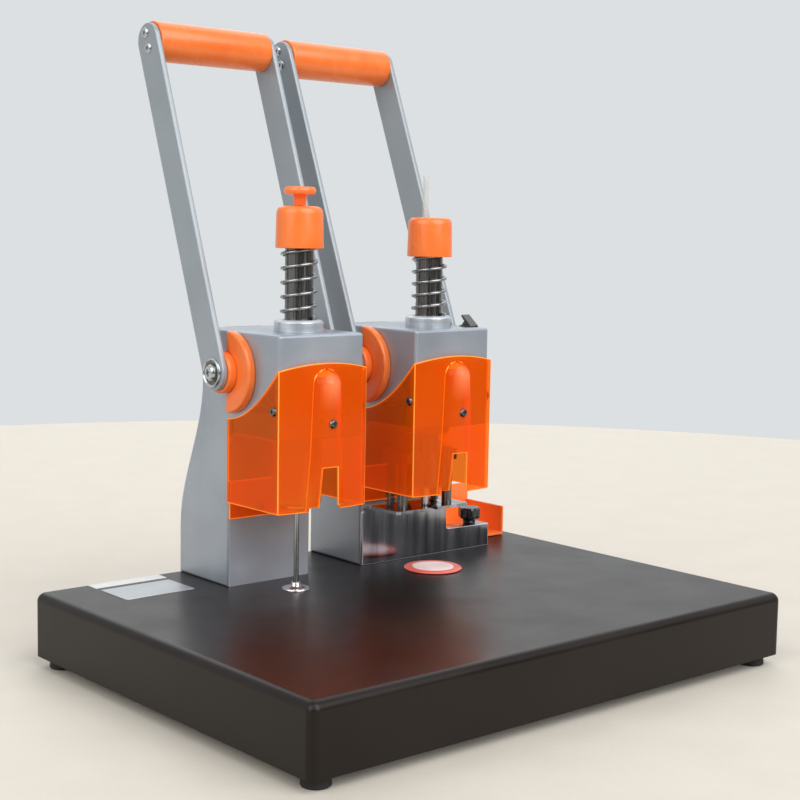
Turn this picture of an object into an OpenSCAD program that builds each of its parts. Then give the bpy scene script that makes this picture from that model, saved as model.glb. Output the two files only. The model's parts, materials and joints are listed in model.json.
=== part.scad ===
// Manual two-head binding machine: a riveting head on the left and a hollow-punch head on the right,
// each driven by its own lever through a rack and pinion, on a folded steel base with rubber feet.
// Millimetres. +X runs right along the front edge, +Y runs away from the user, +Z runs up.
// The origin is on the table, under the middle of the whole machine with its levers up.

/* [Base] */
// Width of the base, left to right
base_w = 418; // [400:1:480]
// Depth of the base, front to back
base_d = 312; // [310:1:360]
// Height of the folded base box without its feet
base_h = 44; // [36:1:60]
// Sheet thickness of the base box
base_t = 2; // [1.5:0.5:3]
// Outside bend radius of the base box
base_r = 6; // [4:0.5:9]
// Thickness of the floor plate that closes the base
floor_t = 1.5; // [1:0.5:3]
// Height of the rubber feet
foot_h = 8; // [6:1:14]
// Diameter of the rubber feet at the table
foot_d = 18; // [16:1:26]
// Distance of the foot centres in from the base's edges
foot_inset = 14; // [13:1:30]

/* [Heads] */
// Distance between the two plunger axes
head_pitch = 119; // [116:1:140]
// Distance of the columns' rear feet in from the base's rear edge
column_margin = 4.5; // [3:0.5:12]
// Width of each head and column
head_w = 71.5; // [70:0.5:76]
// Height of the head's top above the base
head_top = 179.5; // [178:0.5:190]
// Height of the head's underside above the base
head_under = 108; // [104:1:112]
// Distance from the plunger axis forward to the head's front face
head_front = 27; // [24:0.5:30]
// Distance from the plunger axis back to the head's rear face
head_back = 65; // [60:0.5:70]
// Distance from the plunger axis back to the column's front face
column_front = 31.5; // [30:0.5:34]
// Distance from the plunger axis back to the rear of the column's foot
column_back = 93.5; // [88:0.5:96]
// Fillet between the column and the head's underside
throat_r = 12; // [6:1:16]
// Diameter of the bore that takes the plunger's bushes
bush_bore = 28; // [26:0.5:30]
// Diameter of the collar on top of the head
collar_d = 34; // [32:0.5:38]
// Height of the collar on top of the head
collar_h = 8.5; // [6:0.5:12]

/* [Plungers] */
// Diameter of the plungers
plunger_d = 19.5; // [18.5:0.5:20.5]
// Working travel of the left plunger
left_travel = 44; // [36:1:44]
// Working travel of the right plunger
right_travel = 40; // [32:1:40]
// Height of the left cap's rim above the base
left_cap_z = 236.5; // [234:0.5:242]
// Height of the right cap's rim above the base
right_cap_z = 231; // [230:0.5:240]
// Diameter of the caps at the rim
cap_d = 33; // [32:0.5:36]
// Height of the caps
cap_h = 28.5; // [26:0.5:34]
// Depth of the spring pocket inside the caps
cap_pocket = 21; // [19:0.5:23]
// Radius of the caps' upper edge
cap_r = 5; // [3:0.5:6]
// Running clearance between each sliding or turning pair, on the radius
run = 0.05; // [0.03:0.01:0.08]
// Gap between pieces that pass each other
gap = 0.4; // [0.3:0.1:0.6]

/* [Rack and pinion] */
// Gear module
gear_m = 2; // [1.8:0.1:2.1]
// Number of pinion teeth
gear_z = 21; // [20:1:22]
// Distance of the rack's pitch line behind the plunger axis
rack_line = 7; // [6.5:0.25:7.5]
// Tooth thinning on each gear, for backlash
tooth_thin = 0.4; // [0.36:0.02:0.5]
// Width of the pinion
pinion_w = 16; // [12:1:18]
// Height of the lever's pivot above the base
pivot_z = 151.5; // [150:0.5:153]
// Diameter of the pinion shaft
shaft_d = 14; // [12:0.5:16]

/* [Levers] */
// Backward angle of the left lever at rest, in degrees
left_angle = 20.3; // [15:0.1:24]
// Backward angle of the right lever at rest, in degrees
right_angle = 21.6; // [15:0.1:24]
// Distance from the pivot to the grip's axis
lever_len = 243; // [220:1:260]
// Width of the lever arms
arm_w = 25; // [22:0.5:28]
// Thickness of the lever arms
arm_t = 4; // [3:0.5:5]
// Diameter of the grips
grip_d = 28; // [26:0.5:32]
// Distance of the two grip screws from the grip's axis
grip_screw_off = 5.75; // [5:0.25:7]
// Diameter of the half-round shields beside the heads
shield_d = 57; // [52:0.5:60]
// Thickness of the half-round shields
shield_t = 6; // [4:0.2:7]
// Diameter of the lever hubs
hub_d = 29; // [26:0.5:32]
// Distance from the head's side to the lever arm
hub_t = 11.7; // [10:0.1:14]
// Gap between the head's side and the lever hub
hub_gap = 0.8; // [0.6:0.1:1]

/* [Springs] */
// Wire diameter of the return springs
spring_wire = 2.2; // [1.8:0.1:2.4]
// Mean diameter of the return springs
spring_d = 23.9; // [23.8:0.1:24.2]
// Curls in each return spring
spring_turns = 6; // [5:1:7]
// Turn of the return springs about their axes, in degrees
spring_start = 130; // [0:5:355]
// Wire diameter of the press plate's springs
press_wire = 1; // [0.8:0.1:1.2]
// Mean diameter of the press plate's springs
press_spring_d = 7; // [6.6:0.1:7.2]
// Curls in each press spring
press_turns = 9; // [8:1:10]

/* [Riveting head] */
// Diameter of the guide needle
needle_d = 3.6; // [3.2:0.1:4]
// Diameter of the mushroom knob
knob_d = 22.4; // [20:0.2:24]
// Height of the mushroom knob above its cap
knob_h = 12.8; // [11:0.2:15]
// Height of the lower guide's end above the base
guide_z = 61; // [60:0.5:64]
// Diameter of the rivet punch
rivet_d = 16; // [14:0.5:17]
// Length of the rivet punch below the plunger
rivet_h = 7; // [5:0.5:8]
// Diameter of the lower die's flange
die_d = 20; // [18:0.5:24]
// Depth of the needle's seat in the lower die, below the base top
die_seat = 10; // [8:0.5:14]

/* [Punching head] */
// Outside diameter of the hollow punch
punch_d = 5.6; // [5:0.1:6]
// Bore of the hollow punch
punch_bore = 4.2; // [3.8:0.1:4.4]
// Height of the punch's cutting edge above the base
punch_z = 43.5; // [43:0.5:46]
// Height of the punch holder's end above the base
holder_z = 62; // [61:0.5:64]
// Diameter of the punch holder
holder_d = 30; // [28:0.5:32]
// Height of the holder's flange above the base
flange_z = 80; // [78:0.5:82]
// Thickness of the holder's flange
flange_t = 8; // [6:0.5:9]
// Width of the press plate
press_w = 70; // [66:1:72]
// Distance from the plunger axis forward to the press plate's edge
press_front = 10.6; // [9:0.2:14]
// Distance from the plunger axis back to the press plate's edge
press_back = 24; // [22:0.5:26]
// Thickness of the press plate
press_t = 2.2; // [1.6:0.2:3]
// Height of the press plate's underside above the base
press_z = 44.3; // [44:0.1:47]
// Width of the press plate's open slot
press_slot = 7; // [6.8:0.1:8]
// Distance of the spring pins from the plunger axis, left and right
pin_x = 21.5; // [21:0.5:24]
// Distance of the spring pins behind the plunger axis
pin_y = 14; // [13:0.5:15]
// Diameter of the spring pins
pin_d = 5; // [4:0.1:5.2]
// Distance of the guide posts from the plunger axis, left and right
post_x = 22; // [21:0.5:24]
// Diameter of the guide posts
post_d = 7.6; // [6:0.1:8]
// Travel of the press plate against its springs
press_travel = 14; // [10:0.5:14]
// Outside diameter of the clear chip tube
tube_d = 4.6; // [4:0.1:5]
// Height of the chip tube above its cap
tube_h = 30; // [20:1:40]

/* [Fence and pad] */
// Height of the fence in front of the column
fence_h = 42.3; // [38:0.1:43]
// Height of the fence's side run
fence_low = 18; // [16:0.5:22]
// Thickness of the fence plate
fence_t = 3; // [2:0.5:4]
// Length of the tall stretch to the right of the plunger axis
fence_step = 48.5; // [44:0.5:52]
// Length of the fence to the right of the plunger axis
fence_right = 94.5; // [90:0.5:104]
// Radius of the fence's corners
fence_r = 4; // [2:0.5:6]
// Distance of the thumbscrew in from the fence's right end
thumb_in = 12; // [11:0.5:16]
// Diameter of the thumbscrew's head
thumb_d = 18; // [16:0.5:20]
// Diameter of the pad's red rim
pad_d = 43; // [40:0.5:46]
// Diameter of the white cutting disc
disc_d = 33.5; // [28:0.5:36]
// Height of the cutting disc above the base
disc_h = 2; // [1.8:0.1:3]
// Offset of the pad's centre from the punch axis, left to right
pad_x = 1.6; // [0:0.2:4]
// Distance of the pad's centre in front of the punch axis
pad_y = 8.7; // [6:0.1:10]

/* [Side gauge] */
// Distance of the gauge's outer wall in from the base's right edge
gauge_margin = 15.5; // [10:0.5:22]
// Distance from the plunger axis back to the gauge's front edge
gauge_front = 51.5; // [50:0.5:56]
// Distance from the plunger axis back to the gauge's rear wall
gauge_back = 97; // [94:0.5:98]
// Height of the gauge's side wall
gauge_h = 23.7; // [20:0.1:28]
// Height of the gauge's rear wall
gauge_tall = 37.7; // [32:0.1:40]
// Wall thickness of the gauge
gauge_t = 2; // [1.6:0.2:3]
// Radius of the rear wall's upper corner
gauge_r = 7; // [4:0.5:10]

/* [Guards] */
// Wall thickness of the guards
guard_t = 1.75; // [1.5:0.25:2.5]
// Height of the guards' lower edge above the base
guard_z = 60; // [58:0.5:64]
// Height of the guards' front corners above the base
guard_corner = 156; // [152:0.5:158]
// Rise of the guards' front edge between its corners
guard_crown = 4.5; // [2:0.5:6]
// Forward bow of the guards' front panel
guard_bow = 3; // [2:0.5:6]
// Radius of the domed top of the raised rib on the guards' front
rib_r = 11; // [9:0.5:12]
// Half the width of the rib below its dome
rib_half = 13; // [11:0.5:14]
// Height of that place above the guards' lower edge
rib_rise = 38; // [34:0.5:42]
// Half the width of the rib at its flared foot
rib_foot = 16.5; // [14:0.5:18]
// Height of the rib's dome in front of the panel
dome_out = 9.5; // [8:0.5:11]
// Height of the rib in front of the panel at its foot
rib_out = 4.5; // [3:0.5:6]
// Height of the notch in the rib
notch_h = 30; // [24:1:34]
// Width of the notch in the rib
notch_w = 16.5; // [12:0.5:18]
// Drop of the front screw below the guards' corners
front_screw_drop = 36; // [32:0.5:40]
// Drop of the side screws below the guards' corners
side_screw_drop = 27; // [24:0.5:30]
// Distance of the side screws behind the head's front face
side_screw_in = 3.5; // [3:0.5:8]

/* [Hidden] */
$fn = 64;
eps = 0.01;
base_top = foot_h + base_h;
plunger_r = plunger_d / 2;
pinion_r = gear_m * gear_z / 2;
pinion_tip = pinion_r + gear_m;
pivot_y = rack_line + pinion_r;
axis_y = base_d / 2 - column_back - column_margin;
lever_rear = axis_y + pivot_y + lever_len * sin(max(left_angle, right_angle)) + grip_d / 2;
mid_y = (max(lever_rear, base_d / 2) - base_d / 2) / 2;
slot_w = pinion_w + 2;
slot_r = pinion_tip + 2;
side_x = head_w / 2;
hub_x = side_x + hub_gap;
arm_x = side_x + hub_t;
collar_top = head_top + collar_h;
bush_low = pivot_z + slot_r - 5;
guide_high = pivot_z - slot_r + 5;
needle_bore = needle_d + 2 * run;
rail_bore = plunger_d + 2 * run;
pocket_d = spring_d + spring_wire + 2;
rack_pitch = PI * gear_m;
plunger_low = guide_z + 2.5;
right_low = holder_z + 4;
press_top = press_z + press_t;
bolt_d = 6;
pivot_screw_d = 6;
grip_screw_d = 4;
guard_screw_d = 3;
guard_head_d = 6.4;
thumb_stud = 6;
thumb_x = fence_right - thumb_in;
ledge_t = 3;
ledge_d = 14;
thumb_y = column_front + ledge_d / 2;
gauge_left = fence_step + 3;
gauge_right = base_w / 2 - head_pitch / 2 - gauge_margin;
floor_z = gap;
pin_head = 2.7;
pad_stud = 8;
tube_off = [-2.2, 2.8];
chip_bore = 12;

silver = [0.62, 0.65, 0.69];
orange = [0.98, 0.45, 0.16];
clear_orange = [0.98, 0.36, 0.05, 0.6];
steel = [0.75, 0.76, 0.78];
dark_steel = [0.28, 0.29, 0.30];
black = [0.10, 0.10, 0.11];
rubber = [0.05, 0.05, 0.05];

// Places its children on a plunger axis, at the base's top face; side is -1 for left and 1 for right
module at_head(side) {
    translate([side * head_pitch / 2, axis_y - mid_y, base_top])
        children();
}

// Places its children on the middle of the base's footprint
module at_base() {
    translate([0, -mid_y, 0])
        children();
}

// Places its children on a lever's pivot, turned with the lever at rest or upright
module at_pivot(side, upright = false) {
    at_head(side)
        translate([0, pivot_y, pivot_z])
            rotate([upright ? 0 : side < 0 ? -left_angle : -right_angle, 0, 0])
                children();
}

// Cylinder along X that starts at x and runs for len
module rod_x(x, len, d) {
    translate([x, 0, 0])
        rotate([0, 90, 0])
            cylinder(d = d, h = len);
}

// Cylinder along Y that starts at y and runs for len
module rod_y(y, len, d) {
    translate([0, y, 0])
        rotate([-90, 0, 0])
            cylinder(d = d, h = len);
}

// Extrudes an outline drawn in Y and Z across the middle of X
module side_profile(width) {
    rotate([90, 0, 90])
        linear_extrude(width, center = true)
            children();
}

// Extrudes an outline drawn in X and Z along Y, from y to y + depth
module front_profile(y, depth) {
    translate([0, y + depth, 0])
        rotate([90, 0, 0])
            linear_extrude(depth)
                children();
}

// Rectangle with round corners
module round_rect(w, d, r) {
    square([w - 2 * r, d], center = true);
    square([w, d - 2 * r], center = true);
    for (x = [-1, 1], y = [-1, 1])
        translate([x * (w / 2 - r), y * (d / 2 - r)])
            circle(r);
}

// Box with round upright edges and a rounded top edge
module soft_box(w, d, h, r) {
    linear_extrude(h - r)
        round_rect(w, d, r);
    linear_extrude(h)
        square([w - 2 * r, d - 2 * r], center = true);
    for (y = [-1, 1])
        translate([0, y * (d / 2 - r), h - r])
            rod_x(-(w / 2 - r), w - 2 * r, 2 * r);
    for (x = [-1, 1])
        translate([x * (w / 2 - r), 0, h - r])
            rod_y(-(d / 2 - r), d - 2 * r, 2 * r);
    for (x = [-1, 1], y = [-1, 1])
        translate([x * (w / 2 - r), y * (d / 2 - r), h - r])
            sphere(r);
}

// Places of the feet and of each column's bolts
foot_places = [for (x = [-1, 1], y = [-1, 1])
    [x * (base_w / 2 - foot_inset), y * (base_d / 2 - foot_inset)]];
bolt_places = [for (x = [-1, 1], y = [0, 1])
    [x * (side_x - 14), y == 0 ? column_front + 14 : column_back - 14]];

module base_shell() {
    color(black)
        difference() {
            translate([0, -mid_y, foot_h])
                soft_box(base_w, base_d, base_h, base_r);
            translate([0, -mid_y, foot_h - base_t])
                soft_box(base_w - 2 * base_t, base_d - 2 * base_t, base_h, base_r - base_t);
            for (side = [-1, 1], p = bolt_places)
                at_head(side)
                    translate([p[0], p[1], -base_t - 1])
                        cylinder(d = bolt_d, h = base_t + 2);
            at_head(-1)
                translate([0, 0, -base_t - 1])
                    cylinder(d = die_d * 0.6, h = base_t + 2);
            at_head(1)
                translate([pad_x, -pad_y, -base_t - 1])
                    cylinder(d = pad_stud + 2 * run, h = base_t + 2);
        }
}

module base_floor() {
    inner_w = base_w - 2 * base_t - 0.2;
    inner_d = base_d - 2 * base_t - 0.2;
    color(dark_steel)
        at_base()
            difference() {
                translate([0, 0, foot_h])
                    linear_extrude(floor_t)
                        round_rect(inner_w, inner_d, base_r - base_t);
                for (p = foot_places)
                    translate([p[0], p[1], foot_h - 1])
                        cylinder(d = grip_screw_d, h = floor_t + 2);
            }
}

module feet() {
    color(rubber)
        at_base()
            for (p = foot_places)
                translate([p[0], p[1], 0])
                    rotate_extrude()
                        polygon([[4.5, 0], [foot_d / 2 - 1, 0], [foot_d / 2, 1], [foot_d / 2 - 1, foot_h],
                            [grip_screw_d / 2, foot_h], [grip_screw_d / 2, foot_h - 3], [4.5, foot_h - 3]]);
}

module foot_screws() {
    color(steel)
        at_base()
            for (p = foot_places)
                translate([p[0], p[1], foot_h - 3]) {
                    cylinder(d = grip_screw_d, h = 3 + floor_t + 4);
                    translate([0, 0, -2])
                        cylinder(d = 7.5, h = 2);
                }
}

module column_bolts() {
    color(steel)
        for (side = [-1, 1], p = bolt_places)
            at_head(side)
                translate([p[0], p[1], 0]) {
                    translate([0, 0, -base_t])
                        cylinder(d = bolt_d, h = base_t + 16);
                    translate([0, 0, -base_t - 4])
                        cylinder(d = 10, h = 4, $fn = 6);
                }
}

// Smooth step from 0 to 1
function ease(t) = t * t * (3 - 2 * t);

// Rear edge of the casting: straight at the foot, swept in to the neck, straight again at the head
sweep_low = head_top * 0.2;
sweep_high = head_top * 0.79;
sweep = [for (i = [0:14]) let (t = i / 14)
    [column_back + (head_back - column_back) * ease(t), sweep_low + (sweep_high - sweep_low) * t]];
throat = [for (a = [0:10:90])
    [column_front - throat_r + throat_r * cos(a), head_under - throat_r + throat_r * sin(a)]];

// Head and column in one casting, with the bush bore, pinion chamber and shaft bore
module casting(side) {
    at_head(side)
        difference() {
            side_profile(head_w)
                polygon(concat([[column_front, 0], [column_back, 0]], sweep,
                    [[head_back, head_top], [-head_front, head_top], [-head_front, head_under]],
                    [for (i = [len(throat) - 1:-1:0]) throat[i]]));
            translate([0, 0, head_under - 1])
                cylinder(d = bush_bore, h = head_top - head_under + 2);
            translate([0, pivot_y, pivot_z]) {
                rod_x(-slot_w / 2, slot_w, 2 * slot_r);
                translate([-slot_w / 2, 0, -slot_r])
                    cube([slot_w, head_back, 2 * slot_r]);
                rod_x(-side_x - 1, head_w + 2, shaft_d + 2 * run);
            }
            for (p = bolt_places)
                translate([p[0], p[1], -1])
                    cylinder(d = bolt_d, h = 20);
            translate([-cover_w / 2 - gap, head_back, pivot_z - cover_h / 2 - gap])
                cube([cover_w + 2 * gap, column_back, cover_h + 2 * gap]);
            for (p = cover_places)
                translate([p[0], head_back, p[1]])
                    rod_y(-8, 9, guard_screw_d);
            guard_screw_shanks();
            for (x = [-1, 1])
                shield_pegs(x);
        }
}

module left_casting() {
    color(silver)
        casting(-1);
}

module right_casting() {
    color(silver)
        casting(1);
}

// Plate over the pinion chamber at the rear of each head
cover_w = slot_w + 18;
cover_h = 2 * slot_r + 6;
cover_t = 2.5;
cover_places = [for (x = [-1, 1], z = [-1, 1])
    [x * (cover_w / 2 - 4.5), pivot_z + z * (cover_h / 2 - 8)]];

module cover(side) {
    color(silver)
        at_head(side)
            difference() {
                translate([0, 0, pivot_z])
                    front_profile(head_back, cover_t)
                        round_rect(cover_w, cover_h, 3);
                for (p = cover_places)
                    translate([p[0], head_back, p[1]])
                        rod_y(-1, cover_t + 2, guard_screw_d);
            }
}

module left_cover() {
    cover(-1);
}

module right_cover() {
    cover(1);
}

module cover_screws() {
    color(steel)
        for (side = [-1, 1], p = cover_places)
            at_head(side)
                translate([p[0], head_back + cover_t, p[1]]) {
                    rod_y(-cover_t - 7, cover_t + 7, guard_screw_d);
                    rod_y(0, 2, 6);
                }
}

// Upper bush: a spigot in the head and a raised collar on top
module bush(side) {
    color(silver)
        at_head(side)
            rotate_extrude()
                polygon([[rail_bore / 2, bush_low], [bush_bore / 2, bush_low], [bush_bore / 2, head_top],
                    [collar_d / 2, head_top], [collar_d / 2 - 0.6, collar_top - 1],
                    [collar_d / 2 - 1.6, collar_top], [rail_bore / 2, collar_top]]);
}

module left_bush() {
    bush(-1);
}

module right_bush() {
    bush(1);
}

// Lower guide: a spigot in the head and a sleeve that runs down to z
module lower_guide(side, z) {
    color(silver)
        at_head(side)
            rotate_extrude()
                polygon([[rail_bore / 2, z], [collar_d / 2 - 1, z], [collar_d / 2, z + 1],
                    [collar_d / 2, head_under], [bush_bore / 2, head_under],
                    [bush_bore / 2, guide_high], [rail_bore / 2, guide_high]]);
}

module left_guide() {
    lower_guide(-1, guide_z);
}

module right_guide() {
    lower_guide(1, head_under - 6);
}

// Outline of the metal cut away to leave rack teeth; a tooth stands opposite the pinion's axis at rest
function rack_tooth(k, thin) = let (
        zc = pivot_z + k * rack_pitch,
        half = rack_pitch / 4 - thin / 2,
        slope = tan(20),
        tip = rack_line + gear_m,
        root = rack_line - 1.25 * gear_m)
    [[root, zc - half - 1.25 * gear_m * slope], [tip, zc - half + gear_m * slope],
     [tip, zc + half - gear_m * slope], [root, zc + half + 1.25 * gear_m * slope]];

module rack_cut(travel) {
    low = -2;
    high = ceil(travel / rack_pitch) + 2;
    teeth = [for (k = [low:high]) each rack_tooth(k, tooth_thin)];
    z_low = pivot_z + (low - 0.5) * rack_pitch;
    z_high = pivot_z + (high + 0.5) * rack_pitch;
    root = rack_line - 1.25 * gear_m;
    side_profile(plunger_d + 2)
        polygon(concat([[plunger_r + 1, z_low], [root, z_low]], teeth, [[root, z_high], [plunger_r + 1, z_high]]));
}

module left_plunger() {
    top = left_cap_z + cap_h - 4;
    color(dark_steel)
        at_head(-1)
            difference() {
                translate([0, 0, plunger_low])
                    cylinder(d = plunger_d, h = top - plunger_low);
                rack_cut(left_travel);
                translate([0, 0, plunger_low - 1])
                    cylinder(d = needle_bore, h = top);
                translate([0, 0, plunger_low - 1])
                    cylinder(d = rivet_d - 6, h = 9);
            }
}

module right_plunger() {
    top = right_cap_z + cap_h - 4;
    color(dark_steel)
        at_head(1)
            difference() {
                translate([0, 0, right_low])
                    cylinder(d = plunger_d, h = top - right_low);
                rack_cut(right_travel);
                translate([0, 0, right_low - 1])
                    cylinder(d = punch_d, h = 16);
                translate([0, 0, right_low])
                    cylinder(d = punch_bore, h = top);
                translate([0, 0, top - 14])
                    cylinder(d = chip_bore, h = 15);
            }
}

// Cap with a rounded upper edge, a spring pocket and a socket for the plunger's end
module cap_body(z) {
    top_r = cap_d / 2 - 0.7;
    edge = [for (a = [0:15:90])
        [top_r - cap_r + cap_r * cos(a), z + cap_h - cap_r + cap_r * sin(a)]];
    rotate_extrude()
        polygon(concat([[pocket_d / 2, z], [cap_d / 2, z]], edge,
            [[0, z + cap_h], [0, z + cap_h - 4], [plunger_r, z + cap_h - 4],
             [plunger_r, z + cap_pocket], [pocket_d / 2, z + cap_pocket]]));
}

module left_cap() {
    color(orange)
        at_head(-1)
            difference() {
                cap_body(left_cap_z);
                translate([0, 0, left_cap_z + cap_h - 5])
                    cylinder(d = needle_bore + 1, h = 6);
            }
}

module right_cap() {
    color(orange)
        at_head(1)
            difference() {
                cap_body(right_cap_z);
                translate([tube_off[0], tube_off[1], right_cap_z + cap_h - 5])
                    cylinder(d = tube_d, h = 6);
            }
}

// Spring: one tube along a helix whose two ends turn up square to their seats.
// Each place on its route is [turn angle, height, climb angle of the wire].
function spring_route(d, wire, turns, h) = let (
        bend = 1.5 * wire,
        turn_in = bend / (PI * d) * 360,
        z0 = wire + bend,
        climb = h - 2 * z0,
        pitch_angle = atan(climb / turns / (PI * d)),
        n = 8 * turns)
    concat(
        [[0, 0, 90], [0, wire, 90]],
        [[turn_in * (1 - cos(45)), wire + bend * sin(45), 45]],
        [for (i = [0:n]) [turn_in + 360 * turns * i / n, z0 + climb * i / n, pitch_angle]],
        [[2 * turn_in + 360 * turns - turn_in * (1 - cos(45)), h - wire - bend * sin(45), 45]],
        [[2 * turn_in + 360 * turns, h - wire, 90], [2 * turn_in + 360 * turns, h, 90]]);

function spring_ring(place, d, wire) = let (
        a = place[0], e = place[2],
        out = [cos(a), sin(a), 0],
        along = [-sin(a), cos(a), 0],
        across = sin(e) * along - cos(e) * [0, 0, 1])
    [for (k = [0:5]) let (q = 60 * k)
        out * (d / 2 + wire / 2 * cos(q)) + across * (wire / 2 * sin(q)) + [0, 0, place[1]]];

// Least distance between wire centres more than half a curl apart, less one wire
function spring_gap(route, d, wire) = let (
        p = [for (r = route) [d / 2 * cos(r[0]), d / 2 * sin(r[0]), r[1]]])
    min([for (i = [0:len(p) - 1], j = [i + 5:1:len(p) - 1]) norm(p[i] - p[j])]) - wire;

module wound_spring(name, d, wire, turns, h) {
    route = spring_route(d, wire, turns, h);
    rings = [for (r = route) spring_ring(r, d, wire)];
    n = len(rings);
    points = concat([[d / 2, 0, 0]], [for (r = rings) each r],
        [[d / 2 * cos(route[n - 1][0]), d / 2 * sin(route[n - 1][0]), h]]);
    last = 6 * n + 1;
    walls = [for (i = [0:n - 2], k = [0:5]) let (
            a = 1 + 6 * i + k, b = 1 + 6 * i + (k + 1) % 6)
        each [[a, b, a + 6], [b, b + 6, a + 6]]];
    ends = [for (k = [0:5]) let (m = (k + 1) % 6)
        each [[0, 1 + m, 1 + k], [last, last - 6 + k, last - 6 + m]]];
    echo(str(name, " least gap between curls, mm: "), spring_gap(route, d, wire));
    polyhedron(points, concat(walls, ends));
}

module left_spring() {
    color(steel)
        at_head(-1)
            translate([0, 0, collar_top])
                rotate([0, 0, spring_start])
                    wound_spring("left spring", spring_d, spring_wire, spring_turns,
                        left_cap_z + cap_pocket - collar_top);
}

module right_spring() {
    color(steel)
        at_head(1)
            translate([0, 0, collar_top])
                rotate([0, 0, spring_start])
                    wound_spring("right spring", spring_d, spring_wire, spring_turns,
                        right_cap_z + cap_pocket - collar_top);
}

module needle() {
    top = left_cap_z + cap_h + gap + knob_h - 4;
    color(steel)
        at_head(-1)
            rotate_extrude()
                polygon([[0, -die_seat], [0.6, -die_seat], [needle_d / 2, -die_seat + 5],
                    [needle_d / 2, top], [0, top]]);
}

module needle_knob() {
    z = left_cap_z + cap_h + gap;
    r = knob_d / 2;
    color(orange)
        at_head(-1)
            rotate_extrude()
                polygon([[needle_d / 2, z], [4.3, z], [4.3, z + knob_h - 8], [5.2, z + knob_h - 6.4],
                    [r - 2, z + knob_h - 5.2], [r - 0.5, z + knob_h - 4.2], [r, z + knob_h - 2.8],
                    [r - 0.5, z + knob_h - 1.4], [r - 2, z + knob_h - 0.4], [r - 4, z + knob_h],
                    [0, z + knob_h], [0, z + knob_h - 4], [needle_d / 2, z + knob_h - 4]]);
}

// Upper rivet punch with a rolled groove around the needle
module rivet_punch() {
    z = plunger_low - rivet_h;
    color(steel)
        at_head(-1)
            rotate_extrude()
                polygon([[needle_bore / 2, z + 1.2], [needle_bore / 2 + 1.2, z + 2], [needle_bore / 2 + 2.4, z],
                    [rivet_d / 2 - 1, z], [rivet_d / 2, z + 1], [rivet_d / 2, plunger_low],
                    [rivet_d / 2 - 3, plunger_low], [rivet_d / 2 - 3, plunger_low + 8],
                    [needle_bore / 2, plunger_low + 8]]);
}

// Lower die: a flange on the base, a raised socket and a blind seat for the needle's point
module lower_die() {
    seat = needle_bore / 2;
    body = die_d * 0.6 / 2;
    low = -die_seat - gap;
    color(steel)
        at_head(-1)
            rotate_extrude()
                polygon([[0, low - 4], [body, low - 4], [body, 0], [die_d / 2, 0], [die_d / 2 - 0.8, 1.2],
                    [seat + 1.9, 1.5], [seat + 1.3, 5], [seat, 5], [seat, low], [0, low]]);
}

// Holes through the holder's flange or the press plate for the spring pins and the guide posts
module press_holes(z, h, room) {
    for (x = [-1, 1]) {
        translate([x * pin_x, pin_y, z])
            cylinder(d = pin_d + 2 * room, h = h);
        translate([x * post_x, 0, z])
            cylinder(d = post_d + 2 * room, h = h);
    }
}

// Punch holder: a flange that carries the pins and posts, and a nose that grips the punch
module punch_holder() {
    color(dark_steel)
        at_head(1)
            difference() {
                union() {
                    translate([0, 0, holder_z])
                        cylinder(d = holder_d, h = flange_z - holder_z + eps);
                    translate([0, 0, flange_z])
                        linear_extrude(flange_t) {
                            circle(d = holder_d);
                            translate([0, pin_y / 2])
                                round_rect(2 * post_x + 13, pin_y + 13, 5);
                        }
                }
                translate([0, 0, right_low])
                    cylinder(d = plunger_d, h = flange_z + flange_t);
                translate([0, 0, holder_z - 1])
                    cylinder(d = punch_d, h = right_low);
                press_holes(flange_z - 1, flange_t + 2, run);
            }
}

module punch() {
    color(steel)
        at_head(1)
            rotate_extrude()
                polygon([[punch_bore / 2, punch_z], [punch_bore / 2 + 0.1, punch_z], [punch_d / 2, punch_z + 4],
                    [punch_d / 2, right_low + 15], [punch_bore / 2, right_low + 15]]);
}

module chip_tube() {
    low = right_cap_z + cap_h - 12;
    high = right_cap_z + cap_h + tube_h;
    color([0.9, 0.92, 0.92, 0.4])
        at_head(1)
            translate([tube_off[0], tube_off[1], low])
                difference() {
                    cylinder(d = tube_d, h = high - low);
                    translate([0, 0, -1])
                        cylinder(d = tube_d - 1.2, h = high - low + 2);
                }
}

module press_plate() {
    depth = press_front + press_back;
    color(steel)
        at_head(1)
            translate([0, 0, press_z])
                difference() {
                    linear_extrude(press_t)
                        translate([0, (press_back - press_front) / 2])
                            round_rect(press_w, depth, 3);
                    translate([0, 0, -1])
                        cylinder(d = press_slot, h = press_t + 2);
                    translate([-press_slot / 2, -press_front - 1, -1])
                        cube([press_slot, press_front + 1, press_t + 2]);
                    press_holes(-1, press_t + 2, 0);
                }
}

module press_pins() {
    stop = flange_z + flange_t + gap;
    color(steel)
        at_head(1)
            for (x = [-1, 1]) {
                translate([x * pin_x, pin_y, press_z])
                    cylinder(d = pin_d, h = stop - press_z + eps);
                translate([x * pin_x, pin_y, stop])
                    cylinder(d = pin_d + 4, h = pin_head);
                translate([x * post_x, 0, press_z])
                    cylinder(d = post_d, h = stop - 1 - press_z);
            }
}

module press_spring(x, name) {
    color(steel)
        at_head(1)
            translate([x * pin_x, pin_y, press_top])
                wound_spring(name, press_spring_d, press_wire, press_turns, flange_z - press_top);
}

module press_spring_left() {
    press_spring(-1, "left press spring");
}

module press_spring_right() {
    press_spring(1, "right press spring");
}

module shaft(side) {
    color(steel)
        at_pivot(side)
            difference() {
                rod_x(-arm_x, 2 * arm_x, shaft_d);
                for (x = [-1, 1])
                    rod_x(x > 0 ? arm_x - 18 : -arm_x - 1, 19, pivot_screw_d);
            }
}

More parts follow.
